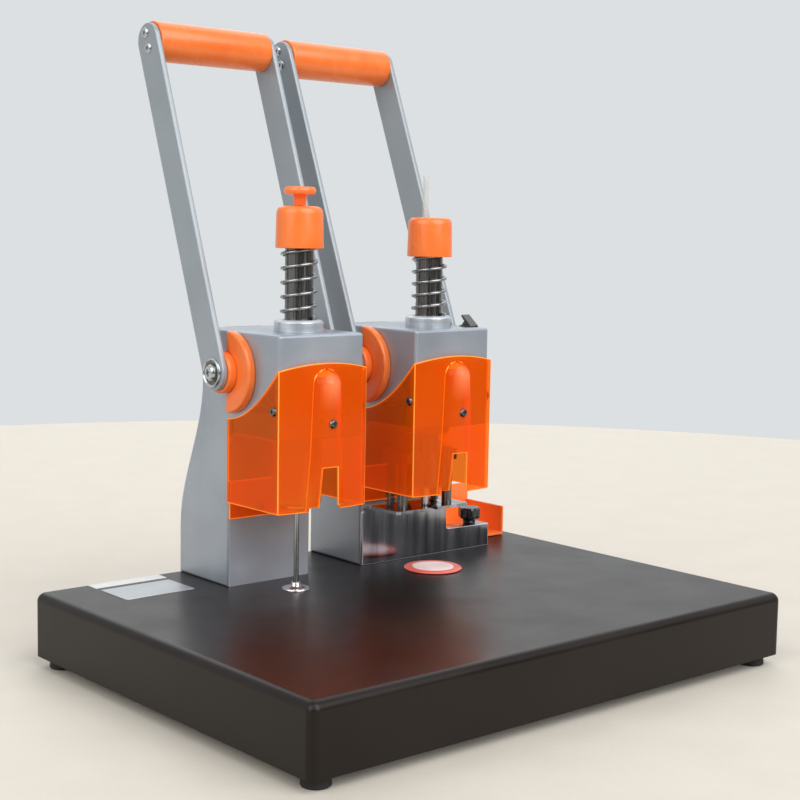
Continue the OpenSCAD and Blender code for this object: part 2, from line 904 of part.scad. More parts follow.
// One flank of an involute tooth from the root to the tip, half a tooth wide at the pitch circle
function involute(rb, t) = rb * [cos(t) + t * PI / 180 * sin(t), sin(t) - t * PI / 180 * cos(t)];
function turned(p, a) = [p[0] * cos(a) - p[1] * sin(a), p[0] * sin(a) + p[1] * cos(a)];
base_circle = pinion_r * cos(20);
tip_roll = sqrt(pow(pinion_tip / base_circle, 2) - 1) * 180 / PI;
half_tooth = (rack_pitch / 2 - tooth_thin) / 2 / pinion_r * 180 / PI + (tan(20) * 180 / PI - 20);
root_r = pinion_r - 1.25 * gear_m;
flank = concat([[root_r, 0]], [for (i = [0:5]) involute(base_circle, tip_roll * i / 5)]);

function tooth(a) = concat(
    [for (p = flank) turned(p, a - half_tooth)],
    [for (i = [len(flank) - 1:-1:0]) turned([flank[i][0], -flank[i][1]], a + half_tooth)]);

module pinion(side) {
    color(dark_steel)
        at_pivot(side, true)
            difference() {
                rotate([90, 0, 90])
                    linear_extrude(pinion_w, center = true)
                        polygon([for (k = [0:gear_z - 1]) each tooth(180 + (k + 0.5) * 360 / gear_z)]);
                rod_x(-pinion_w, 2 * pinion_w, shaft_d);
            }
}

// Turned hub between the head's side and the lever arm, on both ends of the shaft
module hubs(side) {
    edge = 1;
    color(orange)
        at_pivot(side)
            for (x = [-1, 1])
                translate([x * hub_x, 0, 0])
                    rotate([0, x * 90, 0])
                        rotate_extrude()
                            polygon([[shaft_d / 2, 0], [hub_d / 2, 0], [hub_d / 2, arm_x - hub_x - edge],
                                [hub_d / 2 - edge, arm_x - hub_x], [shaft_d / 2, arm_x - hub_x]]);
}

// Two pegs that hold a shield to the head's side; x is the side of the head
module shield_pegs(x) {
    for (z = [-1, 1])
        translate([0, pivot_y - shield_d * 0.26, pivot_z + z * shield_d * 0.26])
            rod_x(x > 0 ? side_x - 5 : -side_x - eps, 5 + eps, 4);
}

// Half-round shield in front of the lever hub, on both sides of the head
module shields(side) {
    edge = 2;
    hole = hub_d / 2 + gap;
    color(orange)
        at_head(side)
            for (x = [-1, 1]) {
                shield_pegs(x);
                translate([x * side_x, pivot_y, pivot_z])
                    intersection() {
                        rotate([0, x * 90, 0])
                            rotate_extrude()
                                polygon([[hole, 0], [shield_d / 2 - 0.6, 0], [shield_d / 2, 0.6],
                                    [shield_d / 2, shield_t - edge], [shield_d / 2 - edge * 0.3, shield_t - edge * 0.3],
                                    [shield_d / 2 - edge, shield_t], [hole, shield_t]]);
                        translate([-shield_t - 1, -shield_d, -shield_d])
                            cube([2 * shield_t + 2, shield_d - 2, 2 * shield_d]);
                    }
            }
}

module left_shields() {
    shields(-1);
}

module right_shields() {
    shields(1);
}

// Flat lever arm with round ends; x is its inner face
module arm(side, x) {
    color(silver)
        at_pivot(side)
            difference() {
                translate([x, 0, 0])
                    rotate([90, 0, 90])
                        linear_extrude(arm_t) {
                            circle(d = arm_w);
                            translate([-arm_w / 2, 0])
                                square([arm_w, lever_len]);
                            translate([0, lever_len])
                                circle(d = arm_w);
                        }
                rod_x(x - 1, arm_t + 2, pivot_screw_d);
                for (z = [-1, 1])
                    translate([0, 0, lever_len + z * grip_screw_off])
                        rod_x(x - 1, arm_t + 2, grip_screw_d);
            }
}

module grip(side) {
    color(orange)
        at_pivot(side)
            translate([0, 0, lever_len])
                difference() {
                    rod_x(-arm_x, 2 * arm_x, grip_d);
                    for (x = [-1, 1], z = [-1, 1])
                        translate([0, 0, z * grip_screw_off])
                            rod_x(x > 0 ? arm_x - 16 : -arm_x - 1, 17, grip_screw_d);
                }
}

module grip_screws(side) {
    color(steel)
        at_pivot(side)
            for (x = [-1, 1], z = [-1, 1])
                translate([0, 0, lever_len + z * grip_screw_off])
                    mirror([x < 0 ? 1 : 0, 0, 0]) {
                        rod_x(arm_x - 15, arm_t + 15, grip_screw_d);
                        rod_x(arm_x + arm_t, 1.4, 7.6);
                    }
}

// Pivot screws with their captive washers
module pivot_screws(side) {
    color(steel)
        at_pivot(side)
            for (x = [0, 1])
                mirror([x, 0, 0]) {
                    rod_x(arm_x - 17, arm_t + 17, pivot_screw_d);
                    rod_x(arm_x + arm_t, 1.5, 18);
                    rod_x(arm_x + arm_t, 4.2, 11.5);
                }
}

module left_shaft() {
    shaft(-1);
}

module left_pinion() {
    pinion(-1);
}

module left_hubs() {
    hubs(-1);
}

module left_outer_arm() {
    arm(-1, -arm_x - arm_t);
}

module left_inner_arm() {
    arm(-1, arm_x);
}

module left_grip() {
    grip(-1);
}

module left_grip_screws() {
    grip_screws(-1);
}

module left_pivot_screws() {
    pivot_screws(-1);
}

module right_shaft() {
    shaft(1);
}

module right_pinion() {
    pinion(1);
}

module right_hubs() {
    hubs(1);
}

module right_inner_arm() {
    arm(1, -arm_x - arm_t);
}

module right_outer_arm() {
    arm(1, arm_x);
}

module right_grip() {
    grip(1);
}

module right_grip_screws() {
    grip_screws(1);
}

module right_pivot_screws() {
    pivot_screws(1);
}

// Stepped fence plate in front of the right column, with a ledge behind its low run
module fence() {
    left = -side_x;
    ledge_x = side_x + 1;
    color(steel)
        at_head(1)
            difference() {
                union() {
                    front_profile(column_front - fence_t, fence_t)
                        union() {
                            translate([left, 0])
                                square([fence_right - left, fence_low]);
                            translate([left, 0])
                                square([fence_step - left, fence_h - fence_r]);
                            translate([left + fence_r, 0])
                                square([fence_step - left - fence_r, fence_h]);
                            translate([left + fence_r, fence_h - fence_r])
                                circle(fence_r);
                            difference() {
                                translate([fence_step, fence_low])
                                    square(fence_r / 2);
                                translate([fence_step + fence_r / 2, fence_low + fence_r / 2])
                                    circle(fence_r / 2);
                            }
                        }
                    translate([ledge_x, column_front - eps, fence_low - ledge_t])
                        cube([fence_right - ledge_x, ledge_d, ledge_t]);
                }
                translate([thumb_x, thumb_y, fence_low - ledge_t - 1])
                    cylinder(d = thumb_stud + 2 * run, h = ledge_t + 2);
            }
}

module thumbscrew() {
    z = fence_low + gap;
    color(black)
        at_head(1)
            translate([thumb_x, thumb_y, 0])
                rotate_extrude()
                    polygon([[0, floor_z + gauge_t + gap], [thumb_stud / 2, floor_z + gauge_t + gap],
                        [thumb_stud / 2, z], [5.2, z], [5.4, z + 2.2], [thumb_d / 2 - 0.8, z + 4.2],
                        [thumb_d / 2, z + 5.2], [thumb_d / 2, z + 11], [thumb_d / 2 - 1, z + 12.2],
                        [thumb_d / 2 - 3, z + 12.6], [0, z + 12.6]]);
}

// Sliding side gauge: a floor with a tongue under the fence's ledge, an outer wall and a taller rear wall
module side_gauge() {
    w = gauge_right - gauge_left;
    color(orange)
        at_head(1)
            translate([0, 0, floor_z]) {
                translate([gauge_left, gauge_front, 0])
                    cube([w, gauge_back - gauge_front, gauge_t]);
                translate([gauge_left, column_front + gap, 0])
                    cube([fence_right - gauge_left, gauge_front - column_front, gauge_t]);
                translate([gauge_right - gauge_t, gauge_front, 0])
                    cube([gauge_t, gauge_back - gauge_front, gauge_h]);
                front_profile(gauge_back - gauge_t, gauge_t)
                    union() {
                        translate([gauge_left, 0])
                            square([w, gauge_tall - gauge_r]);
                        translate([gauge_left, 0])
                            square([w - gauge_r, gauge_tall]);
                        translate([gauge_right - gauge_r, gauge_tall - gauge_r])
                            circle(gauge_r);
                    }
            }
}

module pad_disc() {
    color([0.93, 0.90, 0.90])
        at_head(1)
            translate([pad_x, -pad_y, 0])
                rotate_extrude()
                    polygon([[0, -base_t - 4], [pad_stud / 2, -base_t - 4], [pad_stud / 2, gap], [disc_d / 2, gap],
                        [disc_d / 2, disc_h - 0.4], [disc_d / 2 - 0.4, disc_h], [0, disc_h]]);
}

module pad_rim() {
    color([0.86, 0.24, 0.20])
        at_head(1)
            translate([pad_x, -pad_y, 0])
                rotate_extrude()
                    polygon([[disc_d / 2, gap], [pad_d / 2, gap], [pad_d / 2, disc_h - 1], [pad_d / 2 - 1, disc_h - 0.3],
                        [disc_d / 2, disc_h - 0.3]]);
}

// Places on the guards: the bowed front in plan, and the side panel's swept upper edge
outer_x = side_x + guard_t;
bow_r = (side_x * side_x + guard_bow * guard_bow) / (2 * guard_bow);
function bow_y(x) = -head_front - sqrt(bow_r * bow_r - x * x) + bow_r - guard_bow;
edge_low = pivot_z - shield_d / 2 - 4;
side_edge = [for (i = [0:10]) let (t = i / 10)
    [-head_front + (column_front + head_front) * t, edge_low + (guard_corner - edge_low) * pow(1 - t, 1.85)]];
front_edge = [for (i = [-8:8]) let (t = i / 8) [outer_x * t, guard_corner + guard_crown * (1 - t * t)]];
panel_y = bow_y(0) - guard_t;
rib_low = guard_z + 3.5;
rib_mid = guard_z + rib_rise;
rib_top = guard_corner + 0.5 - rib_r;
dome_front = panel_y - dome_out;
rib_mid_out = rib_out + 2;
screw_z = guard_corner - front_screw_drop;
screw_front = dome_front + (dome_out - rib_mid_out) * (rib_top - screw_z) / (rib_top - rib_mid);

module guard_plan(inset) {
    x = outer_x - inset;
    polygon(concat([[x, column_front - gap], [-x, column_front - gap]],
        [for (i = [0:12]) let (u = -side_x + head_w * i / 12) [u * x / side_x, bow_y(u) - guard_t + inset]]));
}

// Slice of the rib in plan: a flat front with sloping flanks
module rib_slice(z, half, out, wall) {
    flat = rib_r * 0.85 - wall;
    rear = panel_y + (wall > 0 ? 6 : guard_t);
    translate([0, 0, z])
        linear_extrude(eps)
            polygon([[-half + wall, rear], [-half + wall, panel_y + wall], [-flat, panel_y - out + wall],
                [flat, panel_y - out + wall], [half - wall, panel_y + wall], [half - wall, rear]]);
}

// Raised rib with a domed top and a flared foot, drawn as a solid that is one wall smaller inside
module rib_solid(wall, low) {
    hull() {
        translate([0, dome_front + rib_r, rib_top])
            sphere(rib_r - wall, $fn = 32);
        rib_slice(rib_mid, rib_half, rib_mid_out, wall);
    }
    hull() {
        rib_slice(rib_mid, rib_half, rib_mid_out, wall);
        rib_slice(low, rib_foot, rib_out, wall);
    }
}

// Guard screws: each is a place on the casting, its direction outward and the length outside the casting
guard_screw_list = [
    [[0, -head_front, screw_z], [90, 0, 0], -head_front - screw_front],
    [[side_x, -head_front + side_screw_in, guard_corner - side_screw_drop], [0, 90, 0], guard_t],
    [[-side_x, -head_front + side_screw_in, guard_corner - side_screw_drop], [0, -90, 0], guard_t],
    [[10, column_front, guard_z - 6], [90, 0, 0], guard_t],
    [[-10, column_front, guard_z - 6], [90, 0, 0], guard_t]];

module guard_screw_shanks() {
    for (s = guard_screw_list)
        translate(s[0])
            rotate(s[1])
                translate([0, 0, -7])
                    cylinder(d = guard_screw_d, h = s[2] + 7);
}

module guard_screw_heads() {
    for (s = guard_screw_list)
        translate(s[0])
            rotate(s[1])
                translate([0, 0, s[2]])
                    cylinder(d1 = guard_head_d, d2 = guard_head_d - 1.4, h = 1.8);
}

// Moulded guard: bowed front with its rib and a flat for the front screw's head, two side panels
// and a strip that is screwed to the column
module guard(side) {
    high = guard_corner + guard_crown + 1;
    color(clear_orange)
        at_head(side)
            difference() {
                union() {
                    difference() {
                        union() {
                            translate([0, 0, guard_z])
                                linear_extrude(high - guard_z)
                                    guard_plan(0);
                            rib_solid(0, rib_low);
                        }
                        translate([0, 0, guard_z - 1])
                            linear_extrude(high - guard_z + 2)
                                union() {
                                    guard_plan(guard_t);
                                    translate([-side_x, 0])
                                        square([head_w, column_front]);
                                }
                        rib_solid(guard_t, guard_z - 2);
                    }
                    front_profile(column_front - guard_t, guard_t - gap)
                        union() {
                            translate([-outer_x, guard_z])
                                square([2 * outer_x, 15]);
                            translate([-side_x, guard_z - 12])
                                square([head_w, 13]);
                        }
                }
                side_profile(2 * outer_x + 2)
                    polygon(concat(side_edge, [[column_front + 1, edge_low], [column_front + 1, high + 1],
                        [-head_front, high + 1]]));
                front_profile(dome_front - 5, -head_front - dome_front + 5)
                    polygon(concat(front_edge, [[outer_x, high + 1], [-outer_x, high + 1]]));
                front_profile(dome_front - 5, 5 + panel_y - dome_front)
                    polygon([[-notch_w / 2, guard_z - 5], [notch_w / 2, guard_z - 5],
                        [notch_w / 2 - 2, guard_z + notch_h], [2 - notch_w / 2, guard_z + notch_h]]);
                guard_screw_shanks();
                translate([0, screw_front, screw_z])
                    rod_y(-5, 5, guard_head_d + 2 * gap);
            }
}

module left_guard() {
    guard(-1);
}

module right_guard() {
    guard(1);
}

module guard_screws() {
    color(steel)
        for (side = [-1, 1])
            at_head(side) {
                guard_screw_shanks();
                guard_screw_heads();
            }
}

// Small trimming blade on a stand, on top of the right head near its front
clip_x = 27;
clip_w = 7.5;
clip_y = -17;

module tube_blade() {
    color(dark_steel)
        at_head(1)
            translate([clip_x + clip_w / 2, clip_y, head_top])
                side_profile(clip_w)
                    polygon([[0, 0], [12.5, 0], [12.5, 1], [10.4, 1], [7.5, 4.2], [11, 7.8], [9.9, 8.9], [0, 1]]);
}

base_shell();
base_floor();
feet();
foot_screws();
column_bolts();
left_casting();
right_casting();
left_cover();
right_cover();
cover_screws();
left_bush();
right_bush();
left_guide();
right_guide();
left_plunger();
left_cap();
left_spring();
needle();
needle_knob();
rivet_punch();
lower_die();
right_plunger();
right_cap();
right_spring();
punch_holder();
punch();
chip_tube();
press_plate();
press_pins();
press_spring_left();
press_spring_right();
left_shields();
right_shields();
left_shaft();
left_pinion();
left_hubs();
left_outer_arm();
left_inner_arm();
left_grip();
left_grip_screws();
left_pivot_screws();
right_shaft();
right_pinion();
right_hubs();
right_inner_arm();
right_outer_arm();
right_grip();
right_grip_screws();
right_pivot_screws();
fence();
thumbscrew();
side_gauge();
pad_disc();
pad_rim();
left_guard();
right_guard();
guard_screws();
tube_blade();
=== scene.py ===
import json
import math

import bmesh
import bpy
from mathutils import Matrix, Vector


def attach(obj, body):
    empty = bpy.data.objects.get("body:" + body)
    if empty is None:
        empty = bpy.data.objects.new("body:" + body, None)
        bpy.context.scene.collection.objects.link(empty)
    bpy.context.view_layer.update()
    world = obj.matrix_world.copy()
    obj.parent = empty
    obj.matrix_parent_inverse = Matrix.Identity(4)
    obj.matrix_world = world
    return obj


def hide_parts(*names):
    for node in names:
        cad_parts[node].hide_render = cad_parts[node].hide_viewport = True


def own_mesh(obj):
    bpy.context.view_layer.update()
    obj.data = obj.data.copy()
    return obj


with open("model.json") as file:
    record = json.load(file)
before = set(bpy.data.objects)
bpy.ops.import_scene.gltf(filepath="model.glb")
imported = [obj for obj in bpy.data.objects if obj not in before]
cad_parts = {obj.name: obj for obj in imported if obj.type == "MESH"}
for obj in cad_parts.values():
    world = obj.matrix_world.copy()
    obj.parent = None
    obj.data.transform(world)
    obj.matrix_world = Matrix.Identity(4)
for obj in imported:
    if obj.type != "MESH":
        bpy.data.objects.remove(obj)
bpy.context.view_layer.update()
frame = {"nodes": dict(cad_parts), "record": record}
RECORD = frame["record"]
BODY_OF = {node: body for body, nodes in RECORD["behaviour"]["bodies"].items() for node in nodes}
SLOT_OF = {part["node"]: part["material_slot"] for part in RECORD["subparts"]}

# Main places of the machine in millimetres: plunger axes and base top. All further heights count
# from the base's top, and all further places across from a plunger's axis.
MM = 0.001
SIDE = {"left": -1, "right": 1}
AXIS_X, AXIS_Y, BASE_TOP = 59.5, 41.273, 52.0

# Heads: half width, front, back, underside and top; bush with its bore and the collar's top.
HALF_HEAD, HEAD_FRONT, HEAD_BACK = 35.75, -27.0, 65.0
HEAD_UNDER, HEAD_TOP = 108.0, 179.5
BUSH_R, BUSH_BORE, BUSH_LOW, COLLAR_TOP = 14.0, 9.8, 171.5, 188.0

# Levers: pivot, lean at rest, arms, length up to the grip, grip, hub bosses and the shields' pegs.
PIVOT_BACK, PIVOT_UP = 28.0, 151.5
LEAN = {"left": 20.3, "right": 21.6}
ARM_X, ARM_T, LEVER = 47.45, 4.0, 243.0
GRIP_R, GRIP_SCREW_OFF = 14.0, 5.75
HUB_R, HUB_BORE, HUB_T, HUB_GAP = 14.5, 7.0, 10.9, 0.8
PEG = 14.82

# Caps: height of the rim, and from there the roof of the spring's pocket, the plunger's seat and
# the top; radii of the pocket, of the plunger and of the hole for the needle; gap under the knob.
CAP_RIM = {"left": 236.5, "right": 231.0}
CAP_ROOF, CAP_SEAT, CAP_H = 21.0, 24.5, 28.5
POCKET_R, PLUNGER_R = 14.05, 9.75
CAP_HOLE = {"left": 2.4, "right": 0.0}
KNOB_GAP = 0.4

# Springs, and the place of the press springs on the right head.
RETURN_SPRING = {"d": 23.9, "wire": 2.2, "turns": 6, "start_deg": 130}
PRESS_SPRING = {"d": 7.0, "wire": 1.0, "turns": 9, "start_deg": 0, "sides": 10, "steps": 28}
PRESS_X, PRESS_Y, PRESS_LOW, PRESS_TOP = 21.5, 14.0, 46.5, 80.0

# Pieces on the right head and beside it: cutting pad, thumbscrew and chip tube.
PAD_AT, THUMB_AT, TUBE_AT = (1.6, -8.7), (82.5, 38.5), (-2.2, 2.8)

# Ways that a screw's head can face.
TO_FRONT = Matrix.Rotation(math.pi / 2, 4, "X")
TO_REAR = Matrix.Rotation(-math.pi / 2, 4, "X")
TO_RIGHT = Matrix.Rotation(math.pi / 2, 4, "Y")
TO_LEFT = Matrix.Rotation(-math.pi / 2, 4, "Y")

# Screws of a guard and of a rear cover: the place on the head and the way the screw faces.
GUARD_SIDE = (-23.5, 129.0)
GUARD_SCREWS = [
    ((0.0, -39.64, 120.0), TO_FRONT),
    ((-37.5, *GUARD_SIDE), TO_LEFT), ((37.5, *GUARD_SIDE), TO_RIGHT),
    ((-10.0, 29.75, 54.0), TO_FRONT), ((10.0, 29.75, 54.0), TO_FRONT)]
COVER_SCREWS = [((x, 67.5, PIVOT_UP + z), TO_REAR) for x in (-13.5, 13.5) for z in (-20, 20)]

# Patterns: size of the clouds in a coating, of the flow in mouldings and in sheet, the weight of
# the fleck in a coating, and the middle of a noise's values, where most of them lie.
CLOUD_MM, FLOW_MM, SHEET_FLOW_MM = (50, 50, 50), (16, 16, 30), (20, 20, 35)
FLECK_SHARE = 0.35
MOST = {"From Min": 0.3, "From Max": 0.7}

# Meshes, in metres: gap that is welded in a CAD mesh, in a bevelled one and in a turned one.
WELD, WELD_BEVEL, WELD_TURNED = 2e-5, 1e-6, 1e-7
# Bend up to which faces count as one, in degrees, and edges too short to be rounded, in mm.
FLAT_DEG, SHORT_MM = 0.5, 0.7
# Share of a side that one rounded corner may take, and the radius in mm from which lobes are cut.
CORNER_SHARE, LOBES_FROM = 0.49, 5.5

# Camera: yaw, pitch and roll in degrees, place in metres, focal length and picture width in
# pixels, and the width of its sensor.
CAMERA_DEG, CAMERA_AT = (40.812, 6.391, 1.037), (-0.6916, -0.79833, 0.3032)
FOCAL_PX, PICTURE_PX, SENSOR_MM = 1532.5, 800, 36


def linear(code):
    """sRGB hex to linear RGBA."""
    parts = [int(code[i:i + 2], 16) / 255 for i in (1, 3, 5)]
    rgb = [v / 12.92 if v <= 0.04045 else ((v + 0.055) / 1.055) ** 2.4 for v in parts]
    return (*rgb, 1.0)


def scaled(size_mm):
    """Size of a pattern along each axis, from millimetres to metres."""
    return [size * MM for size in size_mm]


def add(tree, kind, values=None, links=None, **settings):
    """Adds one node with its settings, socket values and links, each from a (node, output) pair."""
    node = tree.nodes.new(kind)
    for name, value in settings.items():
        setattr(node, name, value)
    for name, value in (values or {}).items():
        node.inputs[name].default_value = value
    for name, (source, output) in (links or {}).items():
        tree.links.new(source.outputs[output], node.inputs[name])
    return node


def begin(name, colour):
    """An empty material of that name, with its node tree."""
    material = bpy.data.materials.new(name)
    material.use_nodes = True
    material.node_tree.nodes.clear()
    material.diffuse_color = linear(colour)
    return material, material.node_tree


def sprayed(name, dark, light, shine, fleck_mm, peel_mm, peel_depth_mm, **sockets):
    """Coating sprayed on metal: slow clouds in the colour, a fine fleck and a faint orange peel."""
    material, tree = begin(name, light)
    where = add(tree, "ShaderNodeTexCoord")
    broad = add(tree, "ShaderNodeMapping", {"Scale": scaled(CLOUD_MM)},
                {"Vector": (where, "Object")}, vector_type="TEXTURE")
    cloud = add(tree, "ShaderNodeTexNoise", {"Scale": 1.0, "Detail": 3.0},
                {"Vector": (broad, "Vector")})
    small = add(tree, "ShaderNodeMapping", {"Scale": scaled([fleck_mm] * 3)},
                {"Vector": (where, "Object")}, vector_type="TEXTURE")
    fleck = add(tree, "ShaderNodeTexNoise", {"Scale": 1.0, "Detail": 1.0},
                {"Vector": (small, "Vector")})
    both = add(tree, "ShaderNodeMath", {1: FLECK_SHARE}, {0: (fleck, "Fac"), 2: (cloud, "Fac")},
               operation="MULTIPLY_ADD")
    level = add(tree, "ShaderNodeMapRange", {"From Min": 0.45, "From Max": 0.9},
                {"Value": (both, 0)})
    colour = add(tree, "ShaderNodeMix", {6: linear(dark), 7: linear(light)},
                 {0: (level, "Result")}, data_type="RGBA")
    gloss = add(tree, "ShaderNodeMapRange", {**MOST, "To Min": shine[0], "To Max": shine[1]},
                {"Value": (cloud, "Fac")})
    skin = add(tree, "ShaderNodeMapping", {"Scale": scaled([peel_mm] * 3)},
               {"Vector": (where, "Object")}, vector_type="TEXTURE")
    peel = add(tree, "ShaderNodeTexNoise", {"Scale": 1.0, "Detail": 1.5},
               {"Vector": (skin, "Vector")})
    bump = add(tree, "ShaderNodeBump", {"Strength": 0.5, "Distance": peel_depth_mm * MM},
               {"Height": (peel, "Fac")})
    shader = add(tree, "ShaderNodeBsdfPrincipled", sockets,
                 {"Base Color": (colour, 2), "Roughness": (gloss, "Result"),
                  "Normal": (bump, "Normal")})
    add(tree, "ShaderNodeOutputMaterial", links={"Surface": (shader, "BSDF")})
    return material


def moulded(name, dark, light, shine, grain_mm, grain_depth_mm, **sockets):
    """Plastic or rubber from a mould: flow clouds in the colour, uneven gloss and a fine grain."""
    material, tree = begin(name, light)
    where = add(tree, "ShaderNodeTexCoord")
    broad = add(tree, "ShaderNodeMapping", {"Scale": scaled(FLOW_MM)},
                {"Vector": (where, "Object")}, vector_type="TEXTURE")
    flow = add(tree, "ShaderNodeTexNoise", {"Scale": 1.0, "Detail": 4.0, "Distortion": 0.6},
               {"Vector": (broad, "Vector")})
    level = add(tree, "ShaderNodeMapRange", MOST, {"Value": (flow, "Fac")})
    colour = add(tree, "ShaderNodeMix", {6: linear(dark), 7: linear(light)},
                 {0: (level, "Result")}, data_type="RGBA")
    gloss = add(tree, "ShaderNodeMapRange", {**MOST, "To Min": shine[0], "To Max": shine[1]},
                {"Value": (flow, "Fac")})
    fine = add(tree, "ShaderNodeMapping", {"Scale": scaled([grain_mm] * 3)},
               {"Vector": (where, "Object")}, vector_type="TEXTURE")
    grain = add(tree, "ShaderNodeTexNoise", {"Scale": 1.0, "Detail": 2.0},
                {"Vector": (fine, "Vector")})
    bump = add(tree, "ShaderNodeBump", {"Strength": 0.5, "Distance": grain_depth_mm * MM},
               {"Height": (grain, "Fac")})
    shader = add(tree, "ShaderNodeBsdfPrincipled", sockets,
                 {"Base Color": (colour, 2), "Roughness": (gloss, "Result"),
                  "Normal": (bump, "Normal")})
    add(tree, "ShaderNodeOutputMaterial", links={"Surface": (shader, "BSDF")})
    return material


def lined(name, dark, light, shine, line_mm, **sockets):
    """Metal with the lines of its rolling, drawing or turning, line_mm apart along each axis."""
    material, tree = begin(name, light)
    where = add(tree, "ShaderNodeTexCoord")
    along = add(tree, "ShaderNodeMapping", {"Scale": scaled(line_mm)},
                {"Vector": (where, "Object")}, vector_type="TEXTURE")
    lines = add(tree, "ShaderNodeTexNoise", {"Scale": 1.0, "Detail": 3.0},
                {"Vector": (along, "Vector")})
    level = add(tree, "ShaderNodeMapRange", MOST, {"Value": (lines, "Fac")})
    colour = add(tree, "ShaderNodeMix", {6: linear(dark), 7: linear(light)},
                 {0: (level, "Result")}, data_type="RGBA")
    gloss = add(tree, "ShaderNodeMapRange", {**MOST, "To Min": shine[0], "To Max": shine[1]},
                {"Value": (lines, "Fac")})
    shader = add(tree, "ShaderNodeBsdfPrincipled", sockets,
                 {"Base Color": (colour, 2), "Roughness": (gloss, "Result")})
    add(tree, "ShaderNodeOutputMaterial", links={"Surface": (shader, "BSDF")})
    return material


def tinted_sheet(name, dark, light, shine, tint, clear, painted_glow_colour, painted_glow_strength, frost_and_highlight):
    """Clear plastic sheet dyed through: part of the light passes and takes the tint, the rest
    lights the dye. The dye also gives off a painted glow, an emission of the sheet's own that
    is no lamp. Frost and a painted highlight pale the domes of the ribs."""
    material, tree = begin(name, light)
    where = add(tree, "ShaderNodeTexCoord")
    broad = add(tree, "ShaderNodeMapping", {"Scale": scaled(SHEET_FLOW_MM)},
                {"Vector": (where, "Object")}, vector_type="TEXTURE")
    flow = add(tree, "ShaderNodeTexNoise", {"Scale": 1.0, "Detail": 3.0, "Distortion": 0.5},
               {"Vector": (broad, "Vector")})
    level = add(tree, "ShaderNodeMapRange", MOST, {"Value": (flow, "Fac")})
    dyed = add(tree, "ShaderNodeMix", {6: linear(dark), 7: linear(light)},
               {0: (level, "Result")}, data_type="RGBA")
    gloss = add(tree, "ShaderNodeMapRange", {**MOST, "To Min": shine[0], "To Max": shine[1]},
                {"Value": (flow, "Fac")})
    place = add(tree, "ShaderNodeSeparateXYZ", links={"Vector": (where, "Object")})
    # Frosting and a painted highlight, paler the higher, come in from 36 to 41 mm in front of the
    # plungers, over 17 mm of height.
    proud = add(tree, "ShaderNodeMapRange",
                {"From Min": (AXIS_Y - 36) * MM, "From Max": (AXIS_Y - 41) * MM},
                {"Value": (place, "Y")})
    high = add(tree, "ShaderNodeMapRange",
               {"From Min": (BASE_TOP + 129) * MM, "From Max": (BASE_TOP + 146) * MM},
               {"Value": (place, "Z")})
    cloud = add(tree, "ShaderNodeMath", links={0: (proud, "Result"), 1: (high, "Result")},
                operation="MULTIPLY")
    # Mixes in the frosting's pale colour, partly a painted highlight on the domes.
    colour = add(tree, "ShaderNodeMix", {7: linear(frost_and_highlight)}, {0: (cloud, 0), 6: (dyed, 2)},
                 data_type="RGBA")
    window = add(tree, "ShaderNodeMapRange", {"To Min": clear, "To Max": clear * 0.5},
                 {"Value": (cloud, 0)})
    # Its emission is a painted glow: the sheet gives off light of its own.
    skin = add(tree, "ShaderNodeBsdfPrincipled",
               {"IOR": 1.5, "Emission Color": linear(painted_glow_colour),
                "Emission Strength": painted_glow_strength},
               {"Base Color": (colour, 2), "Roughness": (gloss, "Result")})
    inside = add(tree, "ShaderNodeBsdfTranslucent", links={"Color": (colour, 2)})
    dye = add(tree, "ShaderNodeMixShader", {0: 0.35}, {1: (skin, "BSDF"), 2: (inside, "BSDF")})
    through = add(tree, "ShaderNodeBsdfTransparent", {"Color": linear(tint)})
    sheet = add(tree, "ShaderNodeMixShader",
                links={0: (window, "Result"), 1: (dye, "Shader"), 2: (through, "BSDF")})
    add(tree, "ShaderNodeOutputMaterial", links={"Surface": (sheet, "Shader")})
    return material


